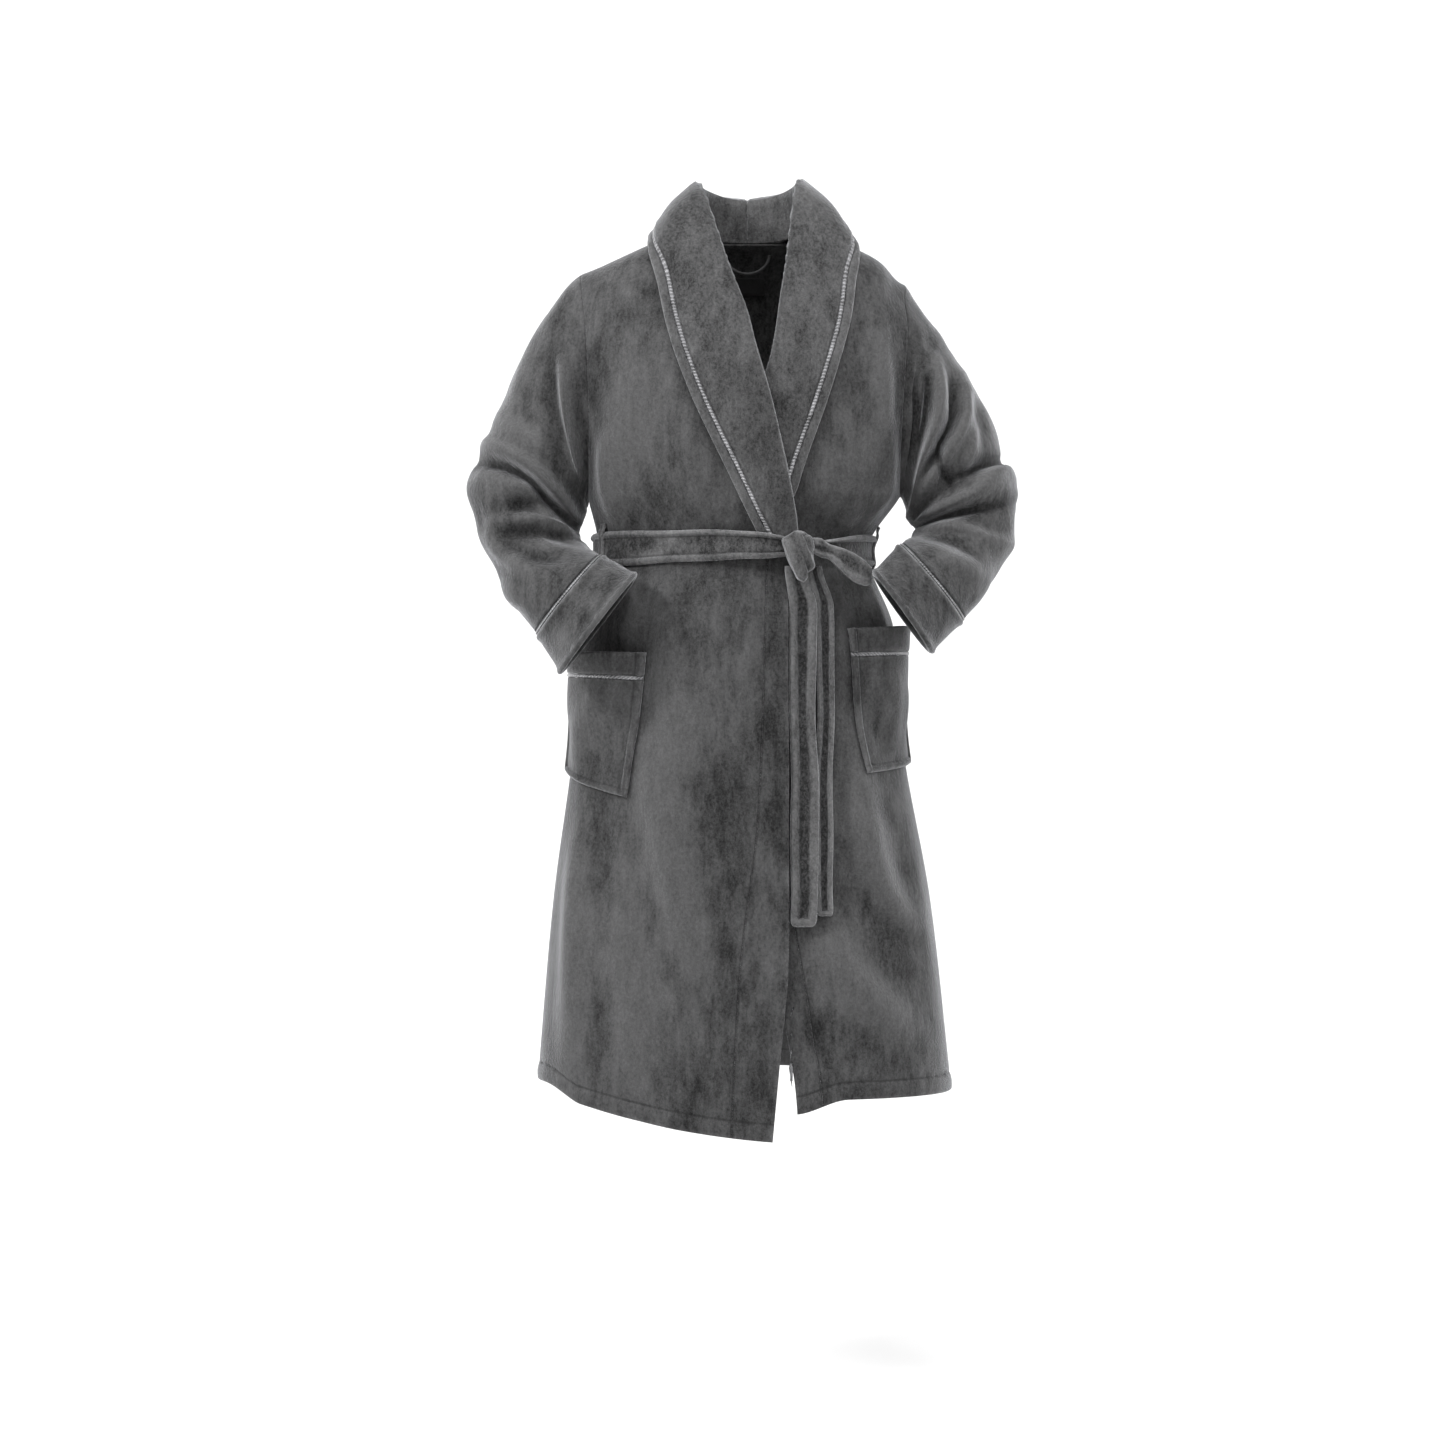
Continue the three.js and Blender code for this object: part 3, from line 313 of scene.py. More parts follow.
def near(x, z, line):
    """Distance to a line of points, and the share of the way along it."""
    best = np.full(np.shape(x), 1e9)
    where = np.zeros(np.shape(x))
    for i in range(len(line) - 1):
        (ax, az), (bx, bz) = line[i], line[i + 1]
        dx, dz = bx - ax, bz - az
        t = np.clip(((x - ax) * dx + (z - az) * dz) / (dx * dx + dz * dz), 0, 1)
        d = np.hypot(x - ax - t * dx, z - az - t * dz)
        where = np.where(d < best, (i + t) / (len(line) - 1), where)
        best = np.minimum(best, d)
    return best, where


def smooth_line(line, count=9):
    if len(line) < 3:
        return line
    p = np.array(line, float)[:, None, :]
    return [tuple(q) for q in resample(p, np.linspace(0, 1, count))[:, 0, :]]


def strokes(x, z, table):
    total = np.zeros(np.shape(x))
    for line, width, height in table:
        d, t = near(x, z, smooth_line(line))
        total += height * np.exp(-((d / width) ** 2)) * np.sin(np.pi * np.clip(t * 0.9 + 0.05, 0, 1)) ** 0.6
    return total


def waves(p, size, seed, stretch=1.0):
    """Slow uneven waves over a surface, about -1 to 1."""
    r = np.random.default_rng(seed)
    total = np.zeros(p.shape[:-1])
    for _ in range(7):
        d = r.normal(size=3) * np.array([1, 1, 1 / stretch])
        total += np.sin(p @ (d * 2 * np.pi / size / 1.7) + r.uniform(0, 6.28))
    return total / 3.5


def folds(p, back=False):
    """How far the cloth stands off the plain body at each point."""
    x, z = p[..., 0], p[..., 2]
    calm = step(-z, 20, 150) * (1 - 0.9 * np.exp(-(((z - BELT_Z) / 30) ** 2)))
    if back:
        bumps = strokes(x, z, BACK_FOLDS)
    else:
        under_tails = np.exp(-(((x - 75) / 45) ** 2)) * (z > -900)
        bumps = strokes(x, z, CHEST_FOLDS + SKIRT_FOLDS) * (1 - 0.6 * under_tails)
    row = level(np.clip(s_at(z), 0, 1), back)
    side = 1 - 0.999 * step(np.abs(x - row["mid"]) / row["half"], 0.86, 1.0)
    slow = waves(p, 190, 3, 3.0) * 2.0 + waves(p, 90, 5, 2.5) * 0.7
    return (bumps * 2.4 + slow * 1.3) * calm * side


# ---------------------------------------------------------------- meshes
def settle(P):
    """Rounds the shoulders: the wearer's right one is fuller, and the left one falls away sooner."""
    x, z = P[:, 0], P[:, 2]
    high = np.exp(-(((z + 66) / 46) ** 2))
    left = np.exp(-(((x - 216) / 30) ** 2)) * high
    right = np.exp(-(((x + 236) / 26) ** 2)) * np.exp(-(((z + 86) / 36) ** 2))
    P = P.copy()
    P[:, 0] += -12 * left - 3 * right
    P[:, 2] += -13 * left + 6 * right
    return P


def make(name, P, faces, attributes, material):
    """A mesh of a closed surface, its faces turned outwards."""
    P = settle(P)
    tri = np.array([(f[0], f[i], f[i + 1]) for f in faces for i in range(1, len(f) - 1)])
    if (P[tri[:, 0]] * np.cross(P[tri[:, 1]], P[tri[:, 2]])).sum() < 0:
        faces = [f[::-1] for f in faces]
    mesh = bpy.data.meshes.new(name)
    mesh.from_pydata((P * MM).tolist(), [], faces)
    mesh.polygons.foreach_set("use_smooth", [True] * len(mesh.polygons))
    for key, values in attributes.items():
        layer = mesh.attributes.new(key, "FLOAT", "POINT")
        layer.data.foreach_set("value", np.asarray(values, np.float32).ravel())
    obj = bpy.data.objects.new(name, mesh)
    bpy.context.scene.collection.objects.link(obj)
    mesh.materials.append(material)
    mesh.validate()
    return obj


def shell(name, inner, N, thick, material, closed=False, edge=None, attributes=None):
    """A closed sheet: the inner face, and the outer face `thick` further along N, rounded at its rim."""
    rows, cols = inner.shape[:2]
    thick = np.broadcast_to(np.asarray(thick, float), (rows, cols))
    if edge is not None:
        r = thick * 0.5
        bow = np.sqrt(np.clip(1 - (1 - np.clip(edge / np.maximum(r, 0.1), 0, 1)) ** 2, 0.02, 1))
        middle = inner + N * (thick / 2)[..., None]
        outer = middle + N * (thick / 2 * bow)[..., None]
        inner = middle - N * (thick / 2 * bow)[..., None]
    else:
        outer = inner + N * thick[..., None]
    P = np.concatenate([inner.reshape(-1, 3), outer.reshape(-1, 3)])
    n = rows * cols
    span = cols if closed else cols - 1
    r, c = np.meshgrid(np.arange(rows - 1), np.arange(span), indexing="ij")
    a, b = r * cols + c, r * cols + (c + 1) % cols
    d, e = a + cols, b + cols
    quads = [np.stack([a, b, e, d], -1).reshape(-1, 4),
             np.stack([a + n, d + n, e + n, b + n], -1).reshape(-1, 4)]
    c = np.arange(span)
    a, b = c, (c + 1) % cols
    quads.append(np.stack([a, a + n, b + n, b], -1))
    a, b = a + (rows - 1) * cols, b + (rows - 1) * cols
    quads.append(np.stack([a, b, b + n, a + n], -1))
    if not closed:
        r = np.arange(rows - 1)
        a, b = r * cols, (r + 1) * cols
        quads.append(np.stack([a, b, b + n, a + n], -1))
        a, b = a + cols - 1, b + cols - 1
        quads.append(np.stack([a, a + n, b + n, b], -1))
    both = {key: np.tile(np.broadcast_to(value, (rows, cols)).ravel(), 2)
            for key, value in (attributes or {}).items()}
    return make(name, P, np.concatenate(quads).tolist(), both, material)


def tube(name, rings, ends, attributes, material):
    """A closed body through rings of points, with a middle point at both of its ends."""
    rows, cols = rings.shape[:2]
    pts = np.concatenate([rings.reshape(-1, 3), ends])
    around = [(c, (c + 1) % cols) for c in range(cols)]
    faces = [[r * cols + c, (r + 1) * cols + c, (r + 1) * cols + d, r * cols + d]
             for r in range(rows - 1) for c, d in around]
    faces += [[rows * cols, c, d] for c, d in around]
    faces += [[rows * cols + 1, (rows - 1) * cols + d, (rows - 1) * cols + c] for c, d in around]
    return make(name, pts, faces, attributes, material)


def ticks(total, fine, coarse, zone):
    """Places from 0 to total: `fine` apart within `zone` of both ends, `coarse` apart between."""
    n = max(int(zone / fine), 2)
    rim = np.array([0, 0.15, 0.45, 1.0]) * fine
    ends = np.concatenate([rim, np.linspace(0, zone, n + 1)[2:]])
    middle = np.linspace(zone, total - zone, max(int((total - 2 * zone) / coarse), 2) + 1)[1:-1]
    return np.concatenate([ends, middle, total - ends[::-1]])


def shares(width, fine, coarse, zone, total):
    """Columns as shares of each row's width, with the same places in mm near both edges."""
    t = ticks(total, fine, coarse, zone)
    w = np.asarray(width, float)[:, None]
    low, high = t <= zone + 1e-6, t >= total - zone - 1e-6
    middle = (t - zone) / (total - 2 * zone)
    f = zone / w + middle * (1 - 2 * zone / w)
    f = np.where(low, t / w, f)
    return np.where(high, 1 - (total - t) / w, f)


def ditch(d, depth=2.0, half=2.3):
    """The groove that a row of stitches pulls, at distances d from it."""
    return -depth * np.exp(-((d / half) ** 2))


def pucker(run, p=11.0):
    """Small pulls along a row of stitches."""
    return 0.55 + 0.3 * np.sin(run * 2 * np.pi / p) + 0.15 * np.sin(run * 2 * np.pi / p * 1.7 + 2)


# Patches of the pile lighter and darker, with painted highlight along fold ridges and painted shade along
# fold valleys: points (x, z) along each, half width, amount.
PILE_PATCHES_AND_PAINTED_FOLD_LIGHT = [
    ([(-180, -60), (-150, -95)], 26, .5), ([(-200, -110), (-228, -190)], 24, .28),
    ([(-165, -190), (-172, -250)], 18, .55), ([(-150, -260), (-158, -340)], 20, .45),
    ([(-125, -250), (-140, -350)], 16, .35), ([(-95, -80), (-110, -160)], 32, -.45),
    ([(-90, -230), (-85, -330)], 36, -.2), ([(-130, -110), (-160, -140)], 26, -.4),
    ([(30, -330), (0, -240)], 24, .25), ([(-10, -130), (-60, -60)], 24, -.1),
    ([(10, -380), (40, -400)], 16, .4), ([(90, -200), (130, -90)], 28, -.35),
    ([(100, -300), (104, -370)], 16, .35), ([(150, -250), (158, -330)], 16, .45),
    ([(178, -100), (198, -260)], 14, -.4), ([(70, -330), (80, -400)], 18, -.3),
    ([(-140, -470), (-120, -540)], 26, .3), ([(-70, -480), (-60, -620)], 24, -.35),
    ([(-20, -480), (-28, -640)], 24, -.3), ([(-128, -700), (-60, -990)], 26, .6),
    ([(-225, -850), (-228, -1090)], 22, .55), ([(-170, -800), (-150, -900)], 34, .22),
    ([(-110, -1010), (-60, -1090)], 34, .35), ([(-40, -700), (-30, -900)], 40, -.35),
    ([(-265, -900), (-268, -1060)], 20, -.45), ([(20, -830), (30, -880)], 24, .4),
    ([(20, -1000), (22, -1050)], 16, .6), ([(-5, -1090), (20, -1140)], 20, -.25),
    ([(140, -790), (195, -930)], 30, .55), ([(110, -960), (205, -1040)], 28, .4),
    ([(150, -900), (225, -1000)], 18, -.5), ([(85, -860), (100, -980)], 14, -.5),
    ([(120, -1090), (220, -1095)], 22, -.2), ([(205, -780), (232, -900)], 16, -.3),
    ([(-190, -1000), (-185, -1100)], 16, -.35), ([(-150, -640), (-120, -720)], 22, .25),
]


def pile_tone_and_painted_light(p, back=False):
    """Tone of the pile: patches where the pile lies lighter and darker, with painted highlight on fold ridges
    and painted shade in fold valleys; lighter above 0, darker below.
    """
    x, z = p[..., 0], p[..., 2]
    front = strokes(x, z, PILE_PATCHES_AND_PAINTED_FOLD_LIGHT) if not back else 0
    # painted shade in the folds' valleys and painted highlight on their ridges, where the pile also presses
    # and splays
    painted_fold_light = folds(p, back)
    return np.clip(front * 0.9 + painted_fold_light * 0.11 + waves(p, 120, 11, 2.0) * 0.16, -1.3, 1.5)


# ---------------------------------------------------------------- materials
def srgb(v):
    v = v / 255
    return v / 12.92 if v <= 0.04045 else ((v + 0.055) / 1.055) ** 2.4


def tree_of(name):
    m = bpy.data.materials.new(name)
    m.use_nodes = True
    t = m.node_tree
    t.nodes.clear()
    out, bsdf = t.nodes.new("ShaderNodeOutputMaterial"), t.nodes.new("ShaderNodeBsdfPrincipled")
    t.links.new(bsdf.outputs[0], out.inputs[0])
    return m, t, bsdf


def noise(t, where, scale, detail, stretch=(1, 1, 1), roughness=0.55):
    mapping = t.nodes.new("ShaderNodeMapping")
    mapping.inputs["Scale"].default_value = stretch
    t.links.new(where, mapping.inputs[0])
    n = t.nodes.new("ShaderNodeTexNoise")
    n.inputs["Scale"].default_value = scale
    n.inputs["Detail"].default_value = detail
    n.inputs["Roughness"].default_value = roughness
    t.links.new(mapping.outputs[0], n.inputs["Vector"])
    return n.outputs[0]


def maths(t, kind, a, b=None, c=None):
    n = t.nodes.new("ShaderNodeMath")
    n.operation = kind
    for i, v in enumerate((a, b, c)):
        if v is None:
            continue
        if isinstance(v, (int, float)):
            n.inputs[i].default_value = v
        else:
            t.links.new(v, n.inputs[i])
    return n.outputs[0]


def ranged(t, v, a, b, lo, hi):
    n = t.nodes.new("ShaderNodeMapRange")
    n.interpolation_type = "SMOOTHSTEP"
    for i, x in zip((1, 2, 3, 4), (a, b, lo, hi)):
        n.inputs[i].default_value = x
    t.links.new(v, n.inputs[0])
    return n.outputs[0]


def attribute(t, name):
    n = t.nodes.new("ShaderNodeAttribute")
    n.attribute_name = name
    return n.outputs["Fac"]


def paint(t, bsdf, tone, colour):
    """Base colour: one colour made lighter and darker by the tone."""
    n = t.nodes.new("ShaderNodeVectorMath")
    n.operation = "SCALE"
    n.inputs[0].default_value = colour
    t.links.new(tone, n.inputs["Scale"])
    t.links.new(n.outputs[0], bsdf.inputs["Base Color"])


def emboss(t, bsdf, height, strength, distance):
    n = t.nodes.new("ShaderNodeBump")
    n.inputs["Strength"].default_value = strength
    n.inputs["Distance"].default_value = distance
    t.links.new(height, n.inputs["Height"])
    t.links.new(n.outputs[0], bsdf.inputs["Normal"])


def plush(name, grey, contrast=1.0, grain=1.0):
    """Napped pile: patches where the pile lies lighter and darker, the painted highlights and shade that each
    mesh carries, rims painted lighter as sheen, streaks, tufts, stitches sunk in it, and sheen.
    """
    m, t, bsdf = tree_of(name)
    where = t.nodes.new("ShaderNodeTexCoord").outputs["Object"]
    patches = noise(t, where, 17, 6, (1, 1, 0.6), 0.62)
    streaks = noise(t, where, 75, 4, (1, 1, 0.3), 0.65)
    tufts = noise(t, where, 270, 4, (1, 1, 0.75), 0.6)
    fuzz = noise(t, where, 620, 3, (1, 1, 0.8), 0.7)
    # The mesh's tone carries painted highlight on ridges and painted shade in valleys and creases, besides
    # patches of the pile.
    brushed_and_painted_light = attribute(t, "pile_tone_and_painted_light")
    ragged = maths(t, "MULTIPLY_ADD", patches, 3.4, maths(t, "MULTIPLY_ADD", streaks, 1.3, -2.35))
    pile_lie_and_painted_light = maths(t, "ADD", maths(t, "MULTIPLY", brushed_and_painted_light, 0.9), ragged)
    tone = ranged(t, pile_lie_and_painted_light, -1.0, 1.15, 1 - 0.44 * contrast, 1 + 0.74 * contrast)
    tone = maths(t, "ADD", tone, maths(t, "MULTIPLY_ADD", streaks, 1.2 * contrast, -0.6 * contrast))
    tone = maths(t, "ADD", tone, maths(t, "MULTIPLY_ADD", tufts, 1.7 * grain, -0.85 * grain))
    tone = maths(t, "ADD", tone, maths(t, "MULTIPLY_ADD", fuzz, 1.5 * grain, -0.75 * grain))
    stitch = maths(t, "ABSOLUTE", attribute(t, "stitch"))
    line = ranged(t, stitch, 0.2, 2.6, 1.0, 0.0)
    tone = maths(t, "MULTIPLY", tone, maths(t, "MULTIPLY_ADD", line, -0.34, 1.0))
    # Painted sheen: the rims are lighter within 6 mm of a free edge.
    wear_and_painted_rim_sheen = ranged(t, attribute(t, "edge"), 0.0, 6.0, 1.35, 1.0)
    tone = maths(t, "MULTIPLY", tone, wear_and_painted_rim_sheen)
    tone = maths(t, "MAXIMUM", tone, 0.26)
    paint(t, bsdf, tone, (grey, grey * 0.998, grey * 1.012))
    bsdf.inputs["Roughness"].default_value = 0.92
    bsdf.inputs["Specular IOR Level"].default_value = 0.12
    bsdf.inputs["Sheen Weight"].default_value = 0.95
    bsdf.inputs["Sheen Roughness"].default_value = 0.3
    bsdf.inputs["Sheen Tint"].default_value = (0.82, 0.83, 0.86, 1)
    height = maths(t, "ADD", maths(t, "MULTIPLY", tufts, 0.8 * grain), maths(t, "MULTIPLY", fuzz, 0.5))
    height = maths(t, "ADD", height, maths(t, "MULTIPLY", streaks, 0.5))
    emboss(t, bsdf, height, 0.6, 0.0022)
    return m


def satin(name):
    """Satin piping, gathered along its run."""
    m, t, bsdf = tree_of(name)
    where = t.nodes.new("ShaderNodeTexCoord").outputs["Object"]
    weave = noise(t, where, 900, 2, (1, 1, 0.3))
    soil = noise(t, where, 60, 2)
    run = attribute(t, "run")
    # The tone follows the gathers, which are also bumps: painted highlight on their tops and painted shade
    # between them.
    gather = maths(t, "SINE", maths(t, "MULTIPLY_ADD", soil, 5.0, maths(t, "MULTIPLY", run, 1.35)))
    tone = maths(t, "MULTIPLY_ADD", gather, 0.34, maths(t, "MULTIPLY_ADD", soil, 1.8, -0.15))
    tone = maths(t, "MAXIMUM", tone, 0.12)
    paint(t, bsdf, tone, (0.26, 0.26, 0.272))
    bsdf.inputs["Roughness"].default_value = 0.3
    bsdf.inputs["Specular IOR Level"].default_value = 0.7
    bsdf.inputs["Anisotropic"].default_value = 0.5
    bsdf.inputs["Sheen Weight"].default_value = 0.2
    height = maths(t, "ADD", maths(t, "MULTIPLY", gather, 0.6), maths(t, "MULTIPLY", weave, 0.3))
    emboss(t, bsdf, height, 0.8, 0.0012)
    return m


def tape(name, grey):
    """Woven tape."""
    m, t, bsdf = tree_of(name)
    where = t.nodes.new("ShaderNodeTexCoord").outputs["Object"]
    wave = t.nodes.new("ShaderNodeTexWave")
    wave.inputs["Scale"].default_value = 420
    wave.inputs["Distortion"].default_value = 1.5
    t.links.new(where, wave.inputs["Vector"])
    wear_and_painted_rim_sheen = maths(t, "MULTIPLY_ADD", noise(t, where, 200, 2), 0.4, 0.5)
    paint(t, bsdf, maths(t, "MULTIPLY_ADD", wave.outputs["Fac"], 0.5, wear_and_painted_rim_sheen), (grey, grey, grey * 1.03))
    bsdf.inputs["Roughness"].default_value = 0.6
    emboss(t, bsdf, wave.outputs["Fac"], 0.5, 0.0005)
    return m


PLUSH = plush("plush_pile", srgb(62), 1.0, 1.0)
COLLAR = plush("collar_pile", srgb(70), 0.8, 1.2)
BELT = plush("belt_pile", srgb(72), 1.0, 1.35)
SATIN = satin("satin_piping")
TAPE = tape("label_tape", 0.02)
CORD = tape("cord_tape", 0.045)

# ---------------------------------------------------------------- body panels
HEM_MM = ARMPIT_Z - HEM_Z
low_rows = ticks(HEM_MM, 2.2, 6.5, 30)[:-6] / HEM_MM
low_rows = low_rows[low_rows < 0.995]
arch_rows = 1 + np.sin(np.linspace(0, 1, 56) * np.pi / 2)
S_ROWS = np.concatenate([low_rows, arch_rows])


def panel(name, rows, lines, lift, back=False, replaces=(), zone=10, total=300, seams=()):
    """One piece of the body between two lines of angles; `seams` names its edges that are sewn on."""
    s = rows[:, None]
    a, b = lines(rows)
    row = level(rows, back)
    width = np.maximum((b - a) * (row["half"] * 0.72 + row["depth"] * 0.28), 30)
    F = shares(width, 2.5, 5.5, zone, total)
    turn = a[:, None] + (b - a)[:, None] * F
    S = np.broadcast_to(s, turn.shape)
    if back:
        x = row["mid"][:, None] + row["half"][:, None] * np.sin(turn)
        dip = step(NECK_HALF_WIDTH + 14 - np.abs(x), 0, 40) * np.maximum(s - 1, 0) ** 3
        S = lerp(S, np.minimum(S, NECK_BACK_S), dip)
        turn = turn_at(S, x, True)
    P, N = base(S, turn, back), outward(S, turn, back)
    top = S > 1.999
    P[..., 1] = np.where(top, 0, P[..., 1])
    seam = top | (np.abs(np.abs(turn) - np.pi / 2) < 1e-4)
    N[..., 1] = np.where(seam, 0, N[..., 1])
    N = unit(N)
    drop = folds(P, back) + lift(P[..., 0], P[..., 2])
    hem = P[..., 2] - P[0:1, :, 2]
    left, right = F * width[:, None], (1 - F) * width[:, None]
    edge = np.minimum(np.minimum(left, right), hem)
    stitch, free = hem - 23, hem
    for side, across in (("left", left), ("right", right)):
        if side in seams:
            stitch = np.where(across < np.abs(stitch), across, stitch)
        else:
            free = np.minimum(free, across)
    run = P[..., 0]
    thick = np.full(F.shape, float(CLOTH))
    thick += 1.6 * np.exp(-(((hem - 11) / 9) ** 2)) + ditch(hem - 23, 2.3) * pucker(run)
    shoulder = np.where(S > 1.6, np.abs(P[..., 1]), 99)
    stitch = np.where(shoulder < np.abs(stitch), shoulder, stitch)
    edge = np.minimum(edge, shoulder)
    inner = P + N * drop[..., None]
    keep = inner[..., 1] > SEAM / 2 if back else inner[..., 1] < -SEAM / 2
    inner[..., 1] = np.where(keep, inner[..., 1], SEAM / 2 if back else -SEAM / 2)
    obj = shell(name, inner, N, thick, PLUSH, edge=np.where(edge < 20, edge + 0.25, 20),
                attributes={"pile_tone_and_painted_light": pile_tone_and_painted_light(P, back), "stitch": stitch, "edge": free, "run": run})
    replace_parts(obj, *replaces)
    return obj


def reach(rows, back=False):
    return level(rows, back)["reach"]


def tucked(rows, line, sign):
    """The front edge above the belt, taken a little in under the collar."""
    t = turn_on_line(rows, line)
    return t + sign * 5 * step(rows, s_at(BELT_Z), 1) / level(rows, False)["half"]


def right_lines(rows):
    below = turn_on_line(rows, BAND_SEAM)
    above = tucked(rows, RIGHT_EDGE, -1)
    return -reach(rows), lerp(below, above, step(rows, s_at(-440), s_at(-412)))


LEFT_BAND_SEAM = [[z, x + LEFT_BAND] for z, x in LEFT_EDGE]


def left_lines(rows):
    below = turn_on_line(rows, LEFT_BAND_SEAM)
    above = tucked(rows, LEFT_EDGE, 1)
    return lerp(below, above, step(rows, s_at(-500), s_at(-470))), reach(rows)


def no_lift(x, z):
    return np.zeros(np.shape(x))


right_front = panel("right_front", S_ROWS, right_lines, lap,
                    replaces=("right_front_panel", "right_front_flap"), seams=("left", "right"))
left_front = panel("left_front", S_ROWS, left_lines, no_lift, replaces=("left_front_panel",),
                   seams=("left", "right"))
band_rows = S_ROWS[S_ROWS < s_at(-424)]
right_band = panel("right_band", band_rows,
                   lambda rows: (turn_on_line(rows, BAND_SEAM), turn_on_line(rows, RIGHT_EDGE)),
                   lap, replaces=("right_front_band",), zone=8, total=50, seams=("left",))
under_rows = S_ROWS[S_ROWS < s_at(-486)]
left_band = panel("left_band", under_rows,
                  lambda rows: (turn_on_line(rows, LEFT_EDGE), turn_on_line(rows, LEFT_BAND_SEAM)),
                  no_lift, replaces=("left_front_band",), zone=8, total=36, seams=("right",))
back_panel = panel("back", S_ROWS, lambda rows: (-reach(rows, True), reach(rows, True)), no_lift, back=True,
                   replaces=("back_panel",), total=500, seams=("left", "right"))
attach(left_front, "robe"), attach(left_band, "robe"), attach(back_panel, "robe")


# ---------------------------------------------------------------- sleeves
HALF = 52
share_list = np.sin(np.linspace(0, 1, HALF + 1) * np.pi / 2)
SLEEVE_FOLDS = {
    "right": [
        ([(-352, -286), (-316, -304), (-286, -322), (-258, -352), (-236, -384)], 12, 10),
        ([(-356, -312), (-318, -318), (-288, -338), (-264, -366), (-240, -394)], 8, -8),
        ([(-350, -330), (-300, -345), (-272, -372), (-250, -398)], 10, 5),
        ([(-243, -180), (-240, -230), (-232, -275), (-218, -330)], 10, 8),
        ([(-200, -205), (-196, -245), (-206, -290), (-220, -345)], 9, -7),
        ([(-262, -160), (-258, -220), (-250, -270)], 10, -4),
        ([(-233, -150), (-208, -190), (-198, -220)], 12, 5),
        ([(-335, -250), (-305, -275), (-270, -300)], 15, 5), ([(-330, -350), (-270, -345)], 10, 3),
        ([(-325, -374), (-262, -360)], 10, -3.5), ([(-335, -390), (-275, -388), (-235, -402)], 9, 4.5),
        ([(-330, -408), (-280, -408), (-236, -420)], 8, -4),
        ([(-350, -405), (-320, -436), (-282, -460)], 12, 5),
        ([(-322, -420), (-290, -440), (-250, -446)], 9, -3.5), ([(-330, -470), (-295, -500)], 14, 4),
        ([(-272, -110), (-300, -170), (-318, -220)], 22, 4),
    ],
    "left": [
        ([(208, -160), (210, -220), (206, -280), (202, -350)], 10, 8),
        ([(217, -200), (215, -270), (205, -340)], 7, -8),
        ([(248, -175), (255, -225), (247, -270), (224, -320), (216, -365)], 10, 10),
        ([(240, -200), (236, -250), (228, -290), (218, -330)], 6, -7),
        ([(266, -176), (286, -215), (284, -260), (266, -300), (246, -330), (224, -370)], 10, 9),
        ([(268, -210), (270, -255), (252, -290), (236, -320)], 6, -7),
        ([(252, -284), (258, -322), (268, -340)], 6, -7), ([(270, -336), (310, -316), (345, -306)], 7, -8),
        ([(298, -266), (290, -310), (282, -330)], 9, 6), ([(302, -342), (338, -322), (352, -330)], 9, 7),
        ([(224, -384), (252, -374), (300, -354), (345, -336)], 10, 8),
        ([(228, -396), (270, -382), (320, -372), (360, -362)], 7, -5),
        ([(234, -400), (276, -398), (310, -414), (345, -420)], 10, 4.5),
        ([(228, -416), (262, -420), (300, -440)], 9, -3.5), ([(300, -200), (318, -250), (334, -290)], 12, 5),
        ([(250, -440), (300, -462)], 12, 3.5), ([(262, -120), (290, -170)], 20, 3),
    ],
}
ELBOW_BACK = [
    ([(230, -300), (290, -330), (350, -340)], 14, 6), ([(230, -340), (290, -365), (350, -380)], 14, 6),
    ([(232, -320), (300, -350)], 8, -5), ([(235, -380), (290, -400), (340, -430)], 13, 5),
    ([(232, -200), (240, -300)], 14, 5), ([(290, -180), (320, -280)], 18, 4),
]


def ring_half(side, back, off, turn_down):
    """Points of the armhole's seam on the front or the back, `off` outwards from it."""
    s = 1 + share_list
    row = level(s, back)
    turn = side * row["reach"]
    p, n = base(s, turn, back), outward(s, turn, back)
    ends = (share_list == 0) | (share_list == 1)
    p[..., 1] = np.where(share_list == 1, 0, p[..., 1])
    n[..., 1] = np.where(ends, 0, n[..., 1])
    n = unit(n)
    beyond = unit(base(s, turn + side * 0.02, back) - base(s, turn, back))
    beyond[ends] = unit(np.array([side * 0.9, 0, -0.43]))
    w = step(share_list, 0, 0.45)[:, None]
    p = p + unit(lerp(np.array([side * 0.25, 0, 1.0]), beyond, w)) * off
    f = (turn_down * (1 - step(share_list, 0, 0.35)))[:, None]
    return p, unit(lerp(n, np.array([side * 0.75, 0, -0.66]), f))


def armhole(side, off, turn_down):
    pf, nf = ring_half(side, False, off, turn_down)
    pb, nb = ring_half(side, True, off, turn_down)
    return np.concatenate([pf, pb[1:-1][::-1]]), np.concatenate([nf, nb[1:-1][::-1]])


def sleeve_ring(side, station, spread):
    """An oval ring of a sleeve from its outer and inner points, its y and its depth."""
    ox, oz, ix, iz, y, depth = station
    out, inn = np.array([side * ox, y, oz], float), np.array([side * ix, y, iz], float)
    middle, axis = (out + inn) / 2, (out - inn) / 2
    half = np.linalg.norm(axis)
    axis = axis / half
    angle = np.pi * lerp(share_list, np.linspace(0, 1, HALF + 1), spread)
    a = np.concatenate([angle, 2 * np.pi - angle[1:-1][::-1]])[:, None]
    flat = np.array([0, -1.0, 0]) * np.sin(a)
    p = middle - axis * np.cos(a) * half + flat * depth
    n = unit(-axis * np.cos(a) * depth + flat * half)
    return p, n


